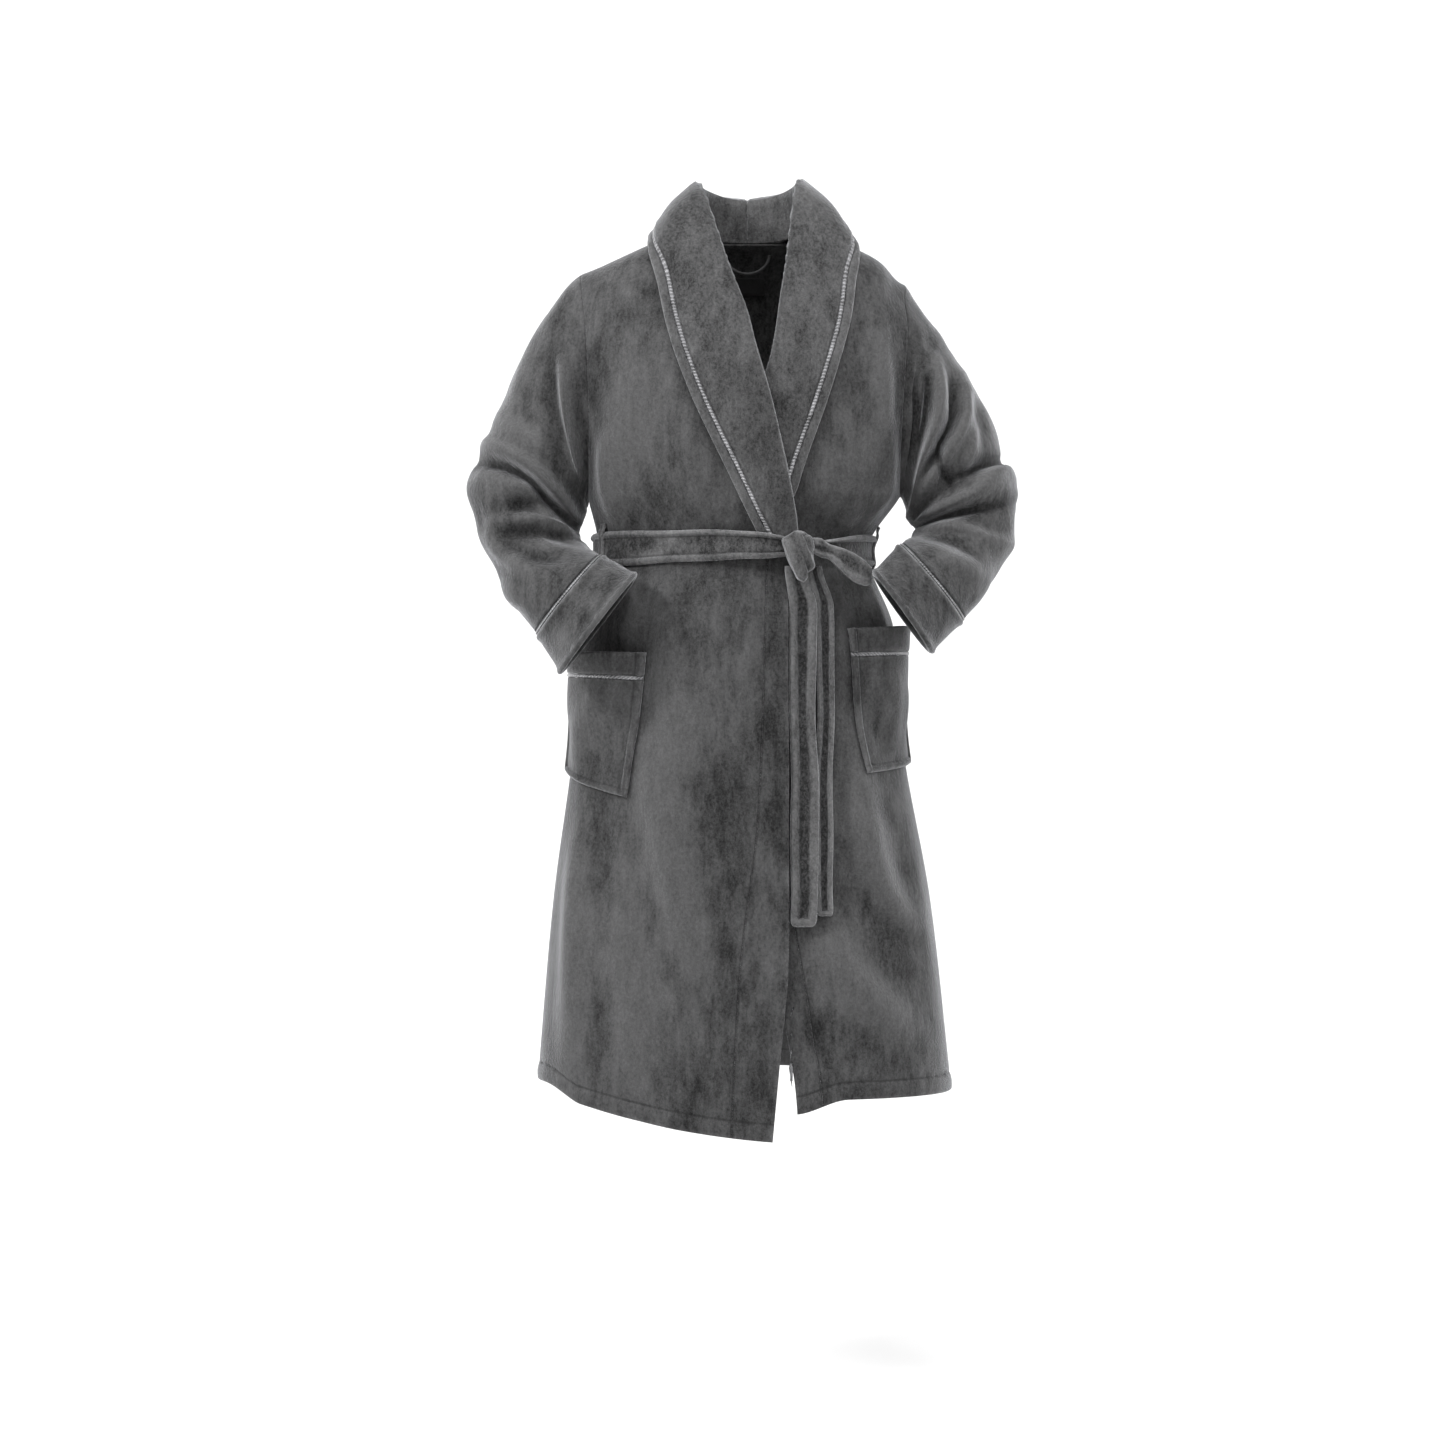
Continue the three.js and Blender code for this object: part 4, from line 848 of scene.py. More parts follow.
def sleeve_height(P, N, side_name, u):
    """Folds of a sleeve; u is the share of its length."""
    side = 1 if side_name == "left" else -1
    x, z = P[..., 0], P[..., 2]
    front = step(-N[..., 1], -0.45, 0.25)
    rear = step(N[..., 1], -0.1, 0.5)
    h = strokes(x, z, SLEEVE_FOLDS[side_name]) * front + strokes(side * x, z, ELBOW_BACK) * rear
    slow = waves(P, 120, 21 + side, 1.6) * 2.2 + waves(P, 46, 31 + side, 1.3) * 1.0
    return (h * 2.0 + slow) * step(u, 0.0, 0.05) * (1 - step(u, 0.92, 1.0))


def sleeve(name):
    side = 1 if name == "left" else -1
    stations = np.array(ARM_STATIONS[name], float)
    curve = []
    for k in range(len(stations) - 1):
        curve += [stations[k], (stations[k] + stations[k + 1]) / 2]
    curve.append(stations[-1])
    rings = [armhole(side, 0, 0), armhole(side, 4, 1)]
    rings += [sleeve_ring(side, st, min(1, (k + 1) / 4)) for k, st in enumerate(curve)]
    P0, N0 = np.stack([r[0] for r in rings]), np.stack([r[1] for r in rings])
    count = 128
    u = np.linspace(0, 1, count)
    P = resample(P0, u)
    N = unit(resample(N0, u))
    for _ in range(14):
        P[1:16] = 0.5 * P[1:16] + 0.25 * (P[:15] + P[2:17])
    U = np.broadcast_to(u[:, None], P.shape[:2])
    h = sleeve_height(P, N, name, U)
    G = normals(P, closed=True)
    G = G * np.sign((G * N).sum(-1, keepdims=True))
    N = unit(lerp(N, G, step(U, 0.1, 0.25)[..., None] * 0.5))
    # painted shade in the sleeve's fold valleys and painted highlight on its ridges, with random tone
    light = np.clip(h * 0.13 + waves(P, 90, 41 + side, 1.6) * 0.2, -1.6, 1.6)
    length = SLEEVE_LENGTH * U
    edge = np.minimum(length, 20)
    sl = shell(f"{name}_sleeve_cloth", P + N * h[..., None], N, CLOTH, PLUSH, closed=True, edge=edge + 1.0,
               attributes={"pile_tone_and_painted_light": light, "stitch": NO_STITCH, "edge": NO_EDGE, "run": length})
    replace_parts(sl, f"{name}_sleeve")
    last, end = stations[-1], np.array(CUFF_ENDS[name], float)

    def mid(st):
        return np.array([side * (st[0] + st[2]) / 2, st[4], (st[1] + st[3]) / 2])
    total = np.linalg.norm(mid(last) - mid(end))
    ang = np.linspace(0, 2 * np.pi, 2 * HALF, endpoint=False)

    def band(low, high, n, thick, lift, material, piece, node, curl):
        deep = high - low > 12
        zone = min(12, (high - low) / 2 - 0.6)
        mm = ticks(high - low, 1.6, 5, zone) + low if deep else np.linspace(low, high, n)
        rs = [sleeve_ring(side, lerp(last, end, m / total), 1) for m in mm]
        P, N = np.stack([r[0] for r in rs]), np.stack([r[1] for r in rs])
        D = np.broadcast_to((mm - low)[:, None], P.shape[:2])
        E = np.minimum(D, (high - low) - D)
        sag = waves(P, 70, 51 + side, 1) * 1.2 * step(D, 0, 30) if deep else 0 * D
        puff = curl * (1.6 * np.exp(-(((high - low - D - 7) / 6) ** 2)) + 0.9 * np.exp(-(((D - 6) / 6) ** 2)))
        gathers = 0.5 * np.sin(ang * 38)[None, :] * np.sin(np.pi * D / (high - low))
        # lighter towards both ends of the band: painted sheen on its rolled rims, over random tone
        tone = waves(P, 60, 61, 1) * 0.3 + 0.25 * np.exp(-E / 5)
        piece = shell(piece, P + N * (lift + sag)[..., None], N, thick + (puff if deep else gathers),
                      material, closed=True, edge=E,
                      attributes={"pile_tone_and_painted_light": tone, "stitch": NO_STITCH, "edge": E, "run": ang * 72})
        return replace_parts(piece, node)
    pipe = band(SEAM * 2, PIPING + 0.4, 7, CLOTH + 1.6, 0, SATIN,
                f"{name}_cuff_satin", f"{name}_cuff_piping", 0)
    cuff = band(PIPING + SEAM * 2, total, 0, CLOTH + 2.2, -0.2, PLUSH,
                f"{name}_cuff_turned", f"{name}_cuff", 2.2)
    pipe, cuff
    for o in (pipe, cuff):
        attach(o, f"{name}_sleeve")
    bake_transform(sl)
    return sl, cuff, pipe


SLEEVES = {n: sleeve(n) for n in ("right", "left")}


# ---------------------------------------------------------------- collar
NECK_SECTIONS = {
    "right": [
        [[0, 64, -4], [0, 72, 56], [0, 104, -34]], [[-50, 55, -1], [-46, 62, 64], [-84, 94, -34]],
        [[-76, 22, 10], [-68, 24, 71], [-117, 50, -12]], [[-76, -14, 10], [-66, -14, 67], [-129, -18, -7]],
        [[-71, -50, 2], [-58, -52, 40], [-128, -66, -40]],
    ],
    "left": [
        [[0, 64, -4], [0, 72, 56], [0, 104, -34]], [[50, 55, -1], [46, 62, 64], [86, 94, -30]],
        [[76, 22, 10], [69, 24, 72], [118, 50, -8]], [[77, -14, 10], [70, -14, 70], [136, -18, -8]],
        [[72, -50, 2], [66, -52, 50], [144, -66, -40]],
    ],
}


def one(x, z, lift):
    return on_front(np.array([float(x)]), np.array([float(z)]), float(lift))[0]


def neck_section(foot, roll, hem):
    """Points across the collar round the neck: up from its foot, over the roll and down to its outer hem."""
    a, r = np.array(foot, float), np.array(roll, float)
    o = one(hem[0], hem[2], COLLAR_CLOTH + LAY) if hem[1] < -50 else np.array(hem, float)
    out = (o - a) * np.array([1, 1, 0])
    out = out / np.linalg.norm(out)
    up = np.array([0, 0, 1.0])
    return [a, lerp(a, r, 0.5) + out, r - out - 7 * up, r, r + 7 * out - 4 * up,
            lerp(r, o, 0.5) + 7 * out + 6 * up, o]


def lapel_section(z, side, outer, roll, lift):
    """Points across the collar where it lies on the front at the height z."""
    edge, hem = float(along(roll, z)), float(along(outer, z))

    def at(x, height):
        return one(x, z, float(lift(np.array(x), np.array(z))) + height)
    return [at(edge - side * 2.4, 0.6), at(edge - side * 2.6, 2.6), at(edge - side * 2, 4.8),
            at(edge + side, 6.5), at(edge + side * 7, 7.6), at((edge + hem) / 2, 7.8), at(hem, CLOTH + LAY)]


def collar(name):
    side = 1 if name == "left" else -1
    outer, roll, lift = (LEFT_OUTER, LEFT_EDGE, no_lift) if side == 1 else (RIGHT_OUTER, RIGHT_EDGE, lap)
    keys = [neck_section(*n) for n in NECK_SECTIONS[name]]
    keys += [lapel_section(z, side, outer, roll, lift) for z in np.linspace(LAPEL_TOP_Z, COLLAR_END_Z, 10)]
    K = resample(np.array(keys), np.linspace(0, 1, 130))
    K[0, :, 0] = 0
    for _ in range(8):
        K[1:-1] = 0.5 * K[1:-1] + 0.25 * (K[:-2] + K[2:])
    # each section's points spread evenly over the cloth, with its length kept
    fine = np.stack([resample(section, np.linspace(0, 1, 60)) for section in K])
    seg = np.linalg.norm(np.diff(fine, axis=1), axis=-1)
    dist = np.concatenate([np.zeros((len(K), 1)), np.cumsum(seg, 1)], 1)
    total = dist[:, -1]

    def at_mm(back_mm):
        """Points at a distance from the outer edge, in mm, one per section and column."""
        d = np.clip(total[:, None] - back_mm, 0, None)
        got = np.empty((*d.shape, 3))
        for r in range(len(fine)):
            for k in range(3):
                got[r, :, k] = np.interp(d[r], dist[r], fine[r, :, k])
        return got
    pipe_in = COLLAR_EDGE + PIPING

    def strip(low, high, n):
        mm = np.linspace(high, low, n)[None, :] * np.ones((len(K), 1))
        return at_mm(mm), mm - low, high - mm
    f = shares(np.maximum(total - pipe_in - SEAM, 20), 2.2, 5, 8, 110)
    main_mm = (total[:, None] - pipe_in - SEAM) * (1 - f) + pipe_in + SEAM
    main = at_mm(main_mm)
    runs = np.concatenate([[0], np.cumsum(np.linalg.norm(np.diff(K[:, 6], axis=0), axis=-1))])[:, None]

    def build(piece, grid, thick, material, to_in, to_out, attributes, node, wave=0.0):
        n = normals(grid)
        lapel = slice(40, 90)  # sections whose outside faces away from the middle of the body
        n = n * np.sign((n[lapel, -1] * grid[lapel, -1] * np.array([0.2, 1, 0])).sum())
        n[0, :, 0] = 0
        n = unit(n)
        bulge = waves(grid, 90, 71, 2) * wave
        edge = np.minimum(np.minimum(to_in, to_out), runs + 0.1)
        o = shell(piece, grid + n * bulge[..., None], n, thick, material, edge=edge, attributes=attributes)
        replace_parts(o, node), o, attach(o, "robe")
        return o
    from_pipe = main_mm - pipe_in - SEAM
    rim = np.minimum(total[:, None] - main_mm, from_pipe)
    puff = 1.5 * np.exp(-((from_pipe - 5) / 5) ** 2)
    # lighter near the piping: painted highlight on the puffed rim there, over random tone
    tone = waves(main, 70, 81, 2.5) * 0.28 + 0.25 * np.exp(-from_pipe / 9) - 0.1
    a = build(f"collar_{name}_fall", main, COLLAR_CLOTH + puff + ditch(from_pipe - 1.2, 1.2, 1.2), COLLAR,
              from_pipe + 0.3, total[:, None] - main_mm + 0.6,
              {"pile_tone_and_painted_light": tone, "stitch": from_pipe - 1.5, "edge": rim, "run": runs},
              f"collar_{name}", 0.8)
    grid, i, o = strip(COLLAR_EDGE, pipe_in + 0.3, 7)
    crimp = 1.6 * np.sin(runs * 0.75 + 1.3 * np.sin(runs * 0.11)) * np.sin(np.pi * i / PIPING).clip(0, 1)
    b = build(f"collar_{name}_satin", grid, COLLAR_CLOTH + 0.7 + crimp * 0.7, SATIN, i + 0.5, o + 0.5,
              {"run": runs, "pile_tone_and_painted_light": 0}, f"collar_piping_{name}")
    grid, i, o = strip(0, COLLAR_EDGE - SEAM, 13)
    roll_up = 1.8 * np.sin(np.pi * np.clip(i / COLLAR_EDGE, 0, 1)) + 0.5 * waves(grid, 16, 77, 1)
    c = build(f"collar_{name}_border", grid, COLLAR_CLOTH + roll_up, COLLAR, i, o,
              {"pile_tone_and_painted_light": waves(grid, 40, 91, 1.5) * 0.25 + 0.35, "stitch": NO_STITCH, "edge": i, "run": runs},
              f"collar_edge_{name}")
    return a, b, c


COLLARS = {n: collar(n) for n in ("right", "left")}


# ---------------------------------------------------------------- pockets
POCKET_BULGES = {
    "right": [([(0.15, 0.72), (0.55, 0.42), (0.62, 0.1)], 0.16, 7), ([(0.7, 0.75), (0.85, 0.4)], 0.12, 4),
              ([(0.25, 0.25), (0.4, 0.08)], 0.1, -4), ([(0.5, 0.98), (0.5, 0.84)], 0.3, 5)],
    "left": [([(0.2, 0.7), (0.45, 0.5), (0.4, 0.2)], 0.14, 6), ([(0.75, 0.6), (0.7, 0.25)], 0.14, 5),
             ([(0.15, 0.35), (0.3, 0.15)], 0.09, -4), ([(0.5, 0.98), (0.5, 0.84)], 0.3, 5)],
}


def pocket(name):
    side = 1 if name == "left" else -1
    front, rear, top, lean, rise = POCKETS[name]

    def patch(piece, low, high, nv, thick, material, slot, node, body_part):
        width = 150.0
        u = ticks(width, 1.8, 5, 16) / width
        span = (high - low) * POCKET_HEIGHT
        v = ticks(span, 1.8, 5, 12) / span if span > 40 else np.linspace(0, 1, nv)
        v = v * (high - low) + low
        U, V = np.meshgrid(u, v)
        turn = side * np.radians(lerp(front + lean * (1 - V), rear, U))
        z = top - POCKET_HEIGHT * (1 - V) + rise * U * (1 - V)
        s = s_at(z)
        P, N = base(s, turn), outward(s, turn)
        opened = POCKET_OPENING * np.sin(np.pi * np.clip(U, 0, 1)) ** 0.9 * V**1.4
        side_mm = np.minimum(U, 1 - U) * width
        foot = V * POCKET_HEIGHT
        ease = step(side_mm, 6, 34) * step(foot, 6, 34)
        bump = strokes(U, V, POCKET_BULGES[name]) * ease
        extra = lap(P[..., 0], P[..., 2]) if side < 0 else 0
        lift = extra + CLOTH + LAY + opened + folds(P) + bump * (1 if body_part else 0.4)
        welt = 3.4 * np.exp(-(((side_mm - 5) / 4.2) ** 2)) + ditch(side_mm - 10.5, 2.2, 2.2)
        if body_part:
            sewn = 3.2 * np.exp(-(((foot - 5) / 4.2) ** 2)) + ditch(foot - 10.5, 2.2, 2.2)
            welt = np.maximum(welt, sewn)
        th = thick + welt * (1 if slot == "plush" else 0)
        edge = np.minimum(side_mm, np.minimum((V - low), (high - V)) * POCKET_HEIGHT)
        stitch = np.minimum(np.abs(side_mm - 9.5), np.abs(foot - 9.5) if body_part else 99)
        top_puff = 1.8 * np.exp(-(((1 - V) * POCKET_HEIGHT / 8) ** 2)) if not body_part else 0
        # painted highlight on the bulges and painted shade in the dents, and the welted sides lighter as
        # painted sheen, over random tone
        tone = 0.25 + bump * 0.05 + waves(P, 60, 95 + side, 1.5) * 0.35 + 0.2 * np.exp(-side_mm / 6)
        o = shell(piece, P + N * lift[..., None], N, th + top_puff, material, edge=edge + 0.2,
                  attributes={"pile_tone_and_painted_light": tone, "stitch": stitch, "edge": edge,
                              "run": U * width + V * POCKET_HEIGHT})
        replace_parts(o, node), o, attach(o, "robe")
        return o
    foot = 1 - POCKET_BAND
    pipe, seam = foot + PIPING / POCKET_HEIGHT, SEAM / POCKET_HEIGHT
    a = patch(f"{name}_pocket_patch", 0, foot - seam, 0, CLOTH, PLUSH, "plush", f"{name}_pocket", True)
    b = patch(f"{name}_pocket_satin", foot, pipe, 6, CLOTH + 1.4, SATIN, "satin",
              f"{name}_pocket_piping", False)
    c = patch(f"{name}_pocket_top", pipe + seam, 1, 22, CLOTH + 0.8, PLUSH, "plush",
              f"{name}_pocket_band", False)
    return a, b, c


POCKET_PIECES = {n: pocket(n) for n in ("right", "left")}

# ---------------------------------------------------------------- belt
KNOT_LIFT = OVERLAP_LIFT + BELT_LIFT + COLLAR_UNDER_BELT


def strap(t, ridge=2.6, rim=9.0):
    """Turned and topstitched edges of a strap: t is the distance to its nearest edge, in mm."""
    return ridge * np.exp(-(((t - rim / 2) / (rim * 0.42)) ** 2)) + ditch(t - rim, 1.3, 1.3)


def belt_wrap():
    def lift_at(x, z, back):
        if back:
            return BELT_LIFT
        right = lap(x, z) + BELT_LIFT + COLLAR_UNDER_BELT * step(x, -50, -5)
        left = lerp(KNOT_LIFT, BELT_LIFT, step(x, KNOT_X + KNOT_HALF_WIDTH, KNOT_X + 90))
        return np.where(x < KNOT_X, right, left)
    v = ticks(BELT_WIDTH, 1.5, 2.5, 14)
    mid_s = s_at(BELT_Z)
    first = turn_at(mid_s, KNOT_X - KNOT_HALF_WIDTH - 6.2 + 3)
    second = turn_at(mid_s, KNOT_X + KNOT_HALF_WIDTH + 1)
    parts = [(np.linspace(first, -np.pi / 2, 78), False),
             (np.linspace(-np.pi / 2, np.pi / 2, 96)[1:-1], True),
             (np.linspace(np.pi / 2, second, 46), False)]
    P, N, L = [], [], []
    for turns, back in parts:
        T, V = np.meshgrid(turns, v)
        z = BELT_Z - BELT_WIDTH / 2 - 3.5 + V * (1 + 3.5 / BELT_WIDTH)
        x_mid = base(np.full(turns.shape, mid_s), turns, back)[:, 0]
        knot = np.exp(-(((x_mid - KNOT_X) / 34) ** 2)) * (not back)
        z = BELT_Z + (z - BELT_Z) * (1 - 0.46 * knot) - 3 * knot
        s = s_at(z)
        p, n = base(s, T, back), outward(s, T, back)
        P.append(p), N.append(n)
        gathers = 1.5 * knot * np.sin(V * 0.5 + x_mid * 0.02)
        L.append(lift_at(p[..., 0], p[..., 2], back) + folds(p, back) * 0.5 + gathers)
    P, N, L = np.concatenate(P, 1), np.concatenate(N, 1), np.concatenate(L, 1)
    V = np.broadcast_to(v[:, None], L.shape)
    t = np.minimum(V, BELT_WIDTH - V)
    runs = np.concatenate([[0], np.cumsum(np.linalg.norm(np.diff(P[0], axis=0), axis=-1))])[None, :]
    th = BELT_CLOTH - 1.6 + strap(t) + waves(P, 55, 101, 1) * 0.5 * 0.6
    dz = waves(P, 150, 103, 1) * 0.9
    P = P + np.array([0, 0, 1.0]) * dz[..., None]
    # lighter on the turned edges and darker inside the stitching: painted highlight on the rolled ridge, over
    # random tone
    tone = 0.65 * np.exp(-(((t - 4.5) / 5) ** 2)) + waves(P, 50, 105, 0.6) * 0.45 - 0.35 * step(t, 8, 12)
    edge = np.minimum(t, np.minimum(runs, runs[:, -1:] - runs)) + 0.1
    o = shell("belt_strap", P + N * L[..., None], N, th, BELT, edge=edge,
              attributes={"pile_tone_and_painted_light": tone, "stitch": t - 9.3, "edge": t, "run": runs})
    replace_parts(o, "belt_wrap"), o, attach(o, "robe")
    return o


BELT_STRAP = belt_wrap()
KNOT_Y = float(one(KNOT_X, BELT_Z, KNOT_LIFT)[1]) - KNOT_DEPTH / 2 - 2.6
KNOT_Z = BELT_Z - 16


def knot():
    """One turn of the belt pulled round the others, wide at its shoulder and pinched at its foot."""
    rows, cols = 60, 84
    v, a = np.linspace(0.004, 0.996, rows)[:, None], np.linspace(0, 2 * np.pi, cols, endpoint=False)[None, :]
    tall = 34.0
    h = np.cos(np.pi * v)
    z = KNOT_Z + tall * h
    wide = along([[-1, 0.2], [-0.8, 0.42], [-0.45, 0.7], [0, 0.96], [0.4, 1.08], [0.75, 1.0], [1, 0.6]], h)
    cap = np.sqrt(np.clip(1 - np.abs(h) ** 7, 0.0, 1))
    cx = KNOT_X + along([[-1, 4.5], [-0.5, 2.5], [0, 0], [1, -2.5]], h)
    power = 0.82
    ca, sa = np.cos(a), np.sin(a)
    x = cx + KNOT_HALF_WIDTH * wide * cap * np.sign(ca) * np.abs(ca) ** power
    y = KNOT_Y + KNOT_DEPTH / 2 * (0.55 + 0.45 * wide) * cap * np.sign(sa) * np.abs(sa) ** power
    P = vec(x, y, z)
    n = unit(vec(ca / KNOT_HALF_WIDTH, sa / (KNOT_DEPTH / 2), 0.3 * h / KNOT_HALF_HEIGHT * 2))
    lean = (P[..., 0] - KNOT_X) + 0.42 * (P[..., 2] - KNOT_Z)
    x, z = P[..., 0], P[..., 2]
    turned = (3.4 * np.exp(-(((np.abs(lean + 1) - 11) / 3.6) ** 2))
              - 1.6 * np.exp(-((lean / 6) ** 2)) * step(z, -470, -440))
    creases = -2.6 * np.exp(-(((x - KNOT_X - 6 + 0.30 * (z - KNOT_Z)) / 2.2) ** 2)) * step(-z, 425, 445)
    creases += waves(P, 26, 141) * 0.9
    creases -= (2.2 * np.exp(-(((z - KNOT_Z - 24 - 0.5 * (x - KNOT_X)) / 1.8) ** 2))
                * step(x, KNOT_X - 4, KNOT_X + 10))
    P = P + n * ((turned + creases) * step(np.abs(h), 1.0, 0.8))[..., None]
    P[..., 2] = np.clip(P[..., 2], KNOT_Z - KNOT_HALF_HEIGHT, KNOT_Z + KNOT_HALF_HEIGHT)
    # lighter on the turned ridge and darker in the creases: painted highlight and painted shade
    tone = np.concatenate([(0.1 + 0.16 * turned + 0.2 * creases).ravel(), [0, 0]])
    o = tube("belt_knot_lump", P, [P[0].mean(0), P[-1].mean(0)],
             {"pile_tone_and_painted_light": tone, "stitch": np.full(len(tone), NO_STITCH), "edge": np.full(len(tone), NO_EDGE),
              "run": np.zeros(len(tone))}, BELT)
    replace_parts(o, "belt_knot"), o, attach(o, "robe")
    return o


KNOT = knot()
# middle, width, length, middle and width at the knot, width of the turned edge
TAILS = {"belt_tail_right": (72, 34, 446, 62, 27, 12.0), "belt_tail_left": (100, 21, 432, 86, 18, 7.0)}


def tail(name):
    x, width, length, top_x, top_width, rim = TAILS[name]
    up, low = TAIL_START - TAIL_TOP_Z, TAIL_TOP_Z - length
    plain = length - TAIL_FOOT
    zs = TAIL_TOP_Z - np.concatenate([[-up, -0.75 * up, -up / 2, -up / 4], np.linspace(0, plain, 110),
                                      plain + ticks(2 * TAIL_FOOT, 1.2, 3, 15)[1:16]])
    zs[0] = TAIL_START
    zs = zs[zs > low - 1e-6]
    f = (TAIL_START - zs) / (TAIL_START - low)
    U, F = np.meshgrid(np.linspace(-1, 1, 41), f)
    Z = np.broadcast_to(zs[:, None], U.shape)
    sway = (1.8 * np.sin(F * 7 + x) + 0.8 * np.sin(F * 19 + x)) * step(F, 0.05, 0.3)
    at = lerp(top_x, x, step(F, 0, 0.12)) + sway
    half = lerp(top_width, width, step(F, 0, 0.14)) / 2 * (1 + 0.05 * np.sin(F * 11))
    foot_mm = Z - low
    corner = np.sqrt(np.clip(1 - (1 - np.clip(foot_mm / 10, 0, 1)) ** 2, 0, 1)) * 0.5 + 0.5
    X = at + U * half * corner
    rest = on_front(at, Z, TAIL_LIFT)[..., 1]
    Y = lerp(np.minimum(KNOT_Y + 8, rest), rest, step(F, 0.02, 0.2))
    t = np.minimum((1 - np.abs(U)) * half, foot_mm)
    ridge = (5.8 + 1.2 * waves(vec(X, 0, Z), 40, 131)) * np.exp(-(((t - rim / 2) / (rim * 0.44)) ** 4))
    P = vec(X, Y + 4.6, Z)
    N = np.broadcast_to(np.array([0, -1.0, 0]), P.shape).copy()
    N[..., 0] = U * 0.35
    N = unit(N)
    # lighter on the turned ridge and darker just inside it: painted highlight, over random tone
    tone = (0.8 * np.exp(-(((t - rim / 2) / (rim * 0.46)) ** 4)) - 1.5 * step(t, rim * 0.85, rim * 1.15)
            + waves(P, 60, 111, 2) * 0.2)
    o = shell(name + "_strap", P, N, 4.2 + ridge, BELT, edge=np.minimum(t * 0.9, TAIL_START - Z) + 0.1,
              attributes={"pile_tone_and_painted_light": tone, "stitch": NO_STITCH, "edge": t, "run": -Z})
    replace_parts(o, name), o
    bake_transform(o)
    return o


TAIL_PIECES = {n: tail(n) for n in TAILS}


def bow():
    """The loop of the half bow: the belt turned back on itself, pinched where it leaves the knot."""
    root = np.array([KNOT_X + KNOT_HALF_WIDTH * 1.06 - 0.4, KNOT_Y, KNOT_Z + 14])
    f, u = np.linspace(0, 1, 130)[:, None], np.linspace(-1, 1, 27)[None, :]
    a = np.pi * (2 * f - 1)
    out = ((1 + np.cos(a)) / 2 * 0.985) ** 0.9
    opened = 5.0 + 3.5 * np.sin(np.pi * np.clip(out, 0, 1)) ** 0.8
    y = root[1] - np.sin(a) * opened + np.where(f < 0.5, -0.6, 0.6) * (1 - out)
    half = along([[0, 10.5], [0.15, 12.5], [0.32, 10.5], [0.62, 16.0], [0.85, 15.0], [1, 10.5]], out)
    x = root[0] + 71 * out - 8 * np.abs(u) ** 3 * out
    z = root[2] - 37 * out**1.1 + u * half + 2.0 * np.sin(out * 5)
    P = vec(x, y, z)
    n = normals(P)
    away = vec(np.where(out > 0.9, 1.0, 0.0), -np.sin(a) * 2, 0 * x)
    n = np.where((away * n).sum(-1, keepdims=True) < 0, -n, n)
    t = (1 - np.abs(u)) * half
    pinch = np.exp(-((out / 0.35) ** 2))
    pleats = pinch * np.sin(u * 7)
    th = 4.6 + 2.6 * np.exp(-(((t - 4) / 3.6) ** 2)) + 1.2 * pleats + waves(P, 30, 151) * 0.7
    # lighter on the turned edge and the pleats' tops, darker inside and between the pleats: painted highlight
    # and painted shade
    tone = (0.7 * np.exp(-(((t - 4) / 4) ** 2)) - 0.4 * step(t, 7, 11) + waves(P, 40, 121, 1) * 0.4
            + 0.5 * pleats)
    o = shell("belt_bow_turn", P, n, th, BELT, edge=t + 0.1,
              attributes={"pile_tone_and_painted_light": tone, "stitch": NO_STITCH, "edge": t, "run": f * 160})
    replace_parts(o, "belt_bow_loop"), o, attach(o, "belt_bow_loop")
    return o


BOW = bow()


def belt_loop(name):
    """A belt carrier: a strip sewn to the side, over the belt and sewn down again."""
    turn = math.radians({"right": -68, "left": 84}[name])
    over, foot, half = BELT_LIFT + BELT_CLOTH - 2.2, CLOTH + SEAM * 2, BELT_WIDTH / 2 + 1.5
    rise = [[half + 10, 0, foot], [half + 4, 0, foot + 1.5], [half + 1.5, 0, over - 1.5],
            [half - 4, 0, over + 0.2]]
    profile = np.array(rise + [[0, 0, over + 0.3]] + [[-x, 0, z] for x, _, z in rise[::-1]], float)
    fine = resample(profile[:, None, :], np.linspace(0, 1, 60))[:, 0]
    width, girth = 13, 106 * 1.3
    u = np.linspace(-0.5, 0.5, 13)[None, :]
    S, T = np.broadcast_arrays(s_at(BELT_Z + fine[:, 0])[:, None], turn + u * width / girth)
    P, N = base(S, T), outward(S, T)
    P = P + N * (np.clip(fine[:, 2], foot, None)[:, None] + folds(P) * 0.5)[..., None]
    t = (0.5 - np.abs(u)) * width
    thick = 2.4 + 0.9 * np.exp(-(((t - 2.5) / 1.6) ** 2))
    o = shell(f"belt_carrier_{name}", P, N, thick, BELT, edge=t + 0.15,
              attributes={"pile_tone_and_painted_light": 0.2, "stitch": t - 4.2, "edge": t, "run": fine[:, :1]})
    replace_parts(o, f"belt_loop_{name}"), o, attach(o, "robe")
    return o


for n in ("right", "left"):
    belt_loop(n)


# ---------------------------------------------------------------- hanger loop and label
def inside_neck(x, down, gap):
    """A point inside the back of the neck, `down` below its top edge and `gap` off the cloth."""
    s, x = NECK_BACK_S, np.array([float(x)])
    top = base(np.array([s]), turn_at(np.array([s]), x, True), True)[0, 2]
    while base(np.array([s]), turn_at(np.array([s]), x, True), True)[0, 2] > top - down and s > 1:
        s -= 0.005
    t = turn_at(np.array([s]), x, True)
    return (base(np.array([s]), t, True) - outward(np.array([s]), t, True) * gap)[0]


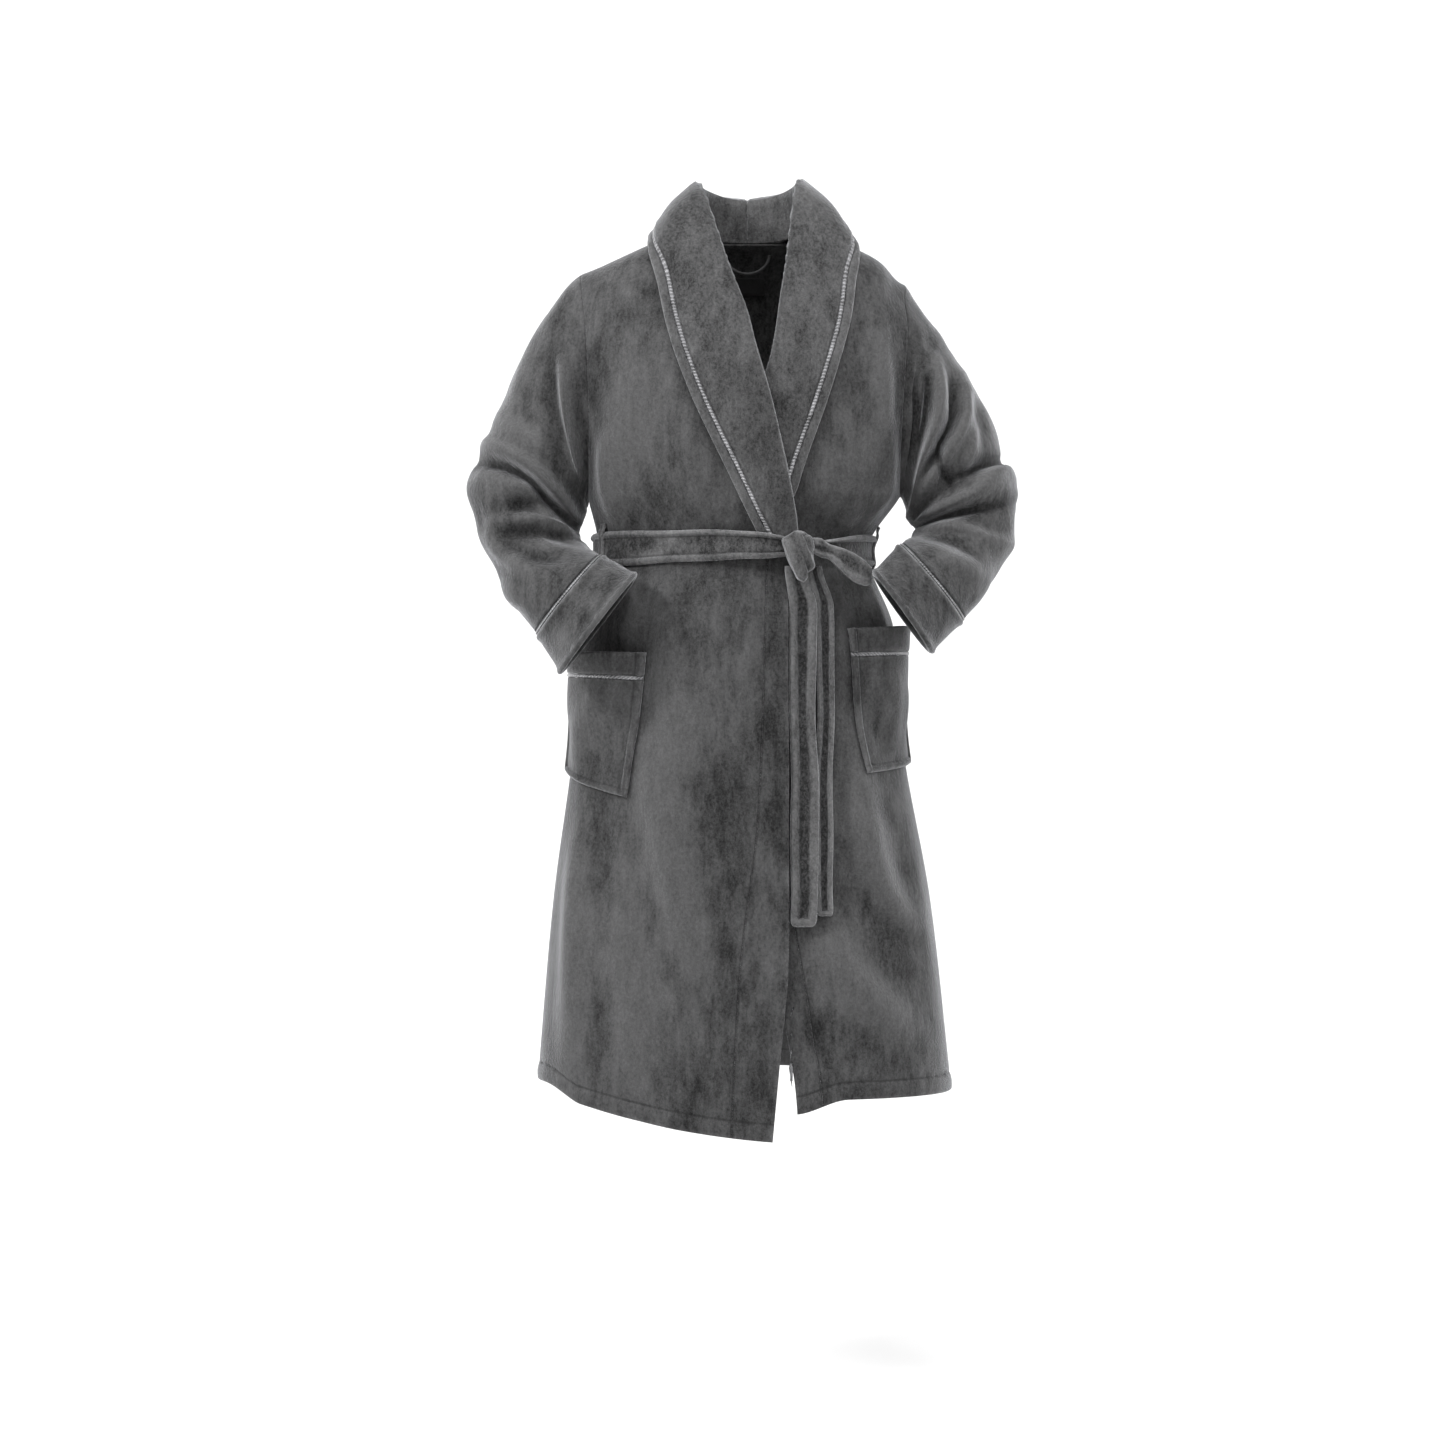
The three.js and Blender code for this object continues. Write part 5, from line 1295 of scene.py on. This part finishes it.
def hang_loop():
    end = inside_neck(30, 8, 2.2 + 1.5)
    f = np.linspace(0, 1, 60)
    mid = vec(-end[0] * np.cos(np.pi * f), end[1] + 0 * f, end[2] - 26 * np.sin(np.pi * f))
    a = np.linspace(0, 2 * np.pi, 16, endpoint=False)
    tangent = unit(np.gradient(mid, axis=0))
    across = np.array([0, 1.0, 0])
    normal = unit(np.cross(tangent, across))
    twist = 0.12 * np.sin(a[None, :] * 3 + f[:, None] * 70)
    radius = 2.1 + twist[..., None]
    ca, sa = np.cos(a)[None, :, None], np.sin(a)[None, :, None]
    P = mid[:, None] + radius * (normal[:, None] * ca + across * sa)
    o = tube("hang_loop_cord", P, [mid[0], mid[-1]], {}, CORD)
    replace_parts(o, "hang_loop"), o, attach(o, "hang_loop")


hang_loop()


def neck_label():
    xs, downs = np.linspace(-23, 23, 24), np.linspace(38, 62, 14)
    P = np.array([[inside_neck(x, down, 2.4 + 0.3 * math.sin(x * 0.3)) for x in xs] for down in downs])
    n = normals(P)
    n = np.where(n[..., 1:2] > 0, -n, n)
    e = np.minimum(np.minimum(xs + 23, 23 - xs)[None, :], np.minimum(downs - 38, 62 - downs)[:, None])
    o = shell("neck_label_tape", P, n, 0.9, TAPE, edge=e + 0.2)
    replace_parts(o, "neck_label"), o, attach(o, "robe")


neck_label()

# ---------------------------------------------------------------- a line down the wrap-over front, and its pieces baked where they stand
fold_top, fold_foot = np.array([20, -150, -532.0]), np.array([-124, -165, -1208.0])
fold_way = unit(fold_foot - fold_top)
fold_across = unit(np.cross(np.array([0, 1.0, 0]), fold_way))
fold_across *= np.sign(fold_across[0])
for piece in (right_front, right_band):
    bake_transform(piece)

# ---------------------------------------------------------------- studio
stage_mesh = bpy.data.meshes.new("stage")
half_width, floor_z, sweep_y, sweep_radius = 9.0, -1.55, 1.2, 1.6
sweep = [(sweep_y + sweep_radius * math.sin(t), sweep_radius - sweep_radius * math.cos(t))
         for t in np.linspace(0.08, math.pi / 2, 14)]
profile = [(-7.0, 0.0), (sweep_y, 0.0)] + sweep + [(sweep_y + sweep_radius, 7.0)]
verts = [(x, y, floor_z + z) for x in (-half_width, half_width) for y, z in profile]
count = len(profile)
stage_mesh.from_pydata(verts, [], [(i, i + 1, count + i + 1, count + i) for i in range(count - 1)])
for poly in stage_mesh.polygons:
    poly.use_smooth = True
stage = bpy.data.objects.new("studio_floor", stage_mesh)
bpy.context.scene.collection.objects.link(stage)
paper, _, sb = tree_of("studio_paper")
sb.inputs["Base Color"].default_value = (0.9, 0.9, 0.9, 1)
sb.inputs["Roughness"].default_value = 0.9
stage_mesh.materials.append(paper)


def area(name, place, target, size, power):
    light = bpy.data.lights.new(name, "AREA")
    light.shape, light.size, light.energy = "SQUARE", size, power
    o = bpy.data.objects.new(name, light)
    bpy.context.scene.collection.objects.link(o)
    o.location = place
    d = np.array(target) - np.array(place)
    o.rotation_euler = mathutils.Vector(d.tolist()).to_track_quat("-Z", "Y").to_euler()


area("key", (-2.7, -1.7, 1.5), (0, 0, -0.5), 0.7, 86)
area("key_right", (2.8, -1.5, 0.9), (0, 0, -0.55), 0.9, 30)
area("front", (0.4, -4.2, 0.9), (0, 0, -0.6), 1.2, 6)
area("side_left", (-2.4, 0.5, 0.0), (0, 0, -0.6), 1.4, 24)
area("side_right", (2.4, 0.5, 0.0), (0, 0, -0.6), 1.4, 24)
area("top", (0.1, -1.3, 2.3), (0, 0.05, -0.15), 1.0, 30)
area("paper", (0, -1.0, 2.6), (0, 2.6, 0.2), 3.0, 50)
world = bpy.data.worlds.new("studio")
bpy.context.scene.world = world
world.use_nodes = True
world.node_tree.nodes["Background"].inputs[0].default_value = (1, 1, 1, 1)
world.node_tree.nodes["Background"].inputs[1].default_value = 0.5
bpy.context.scene.view_settings.view_transform = "Standard"
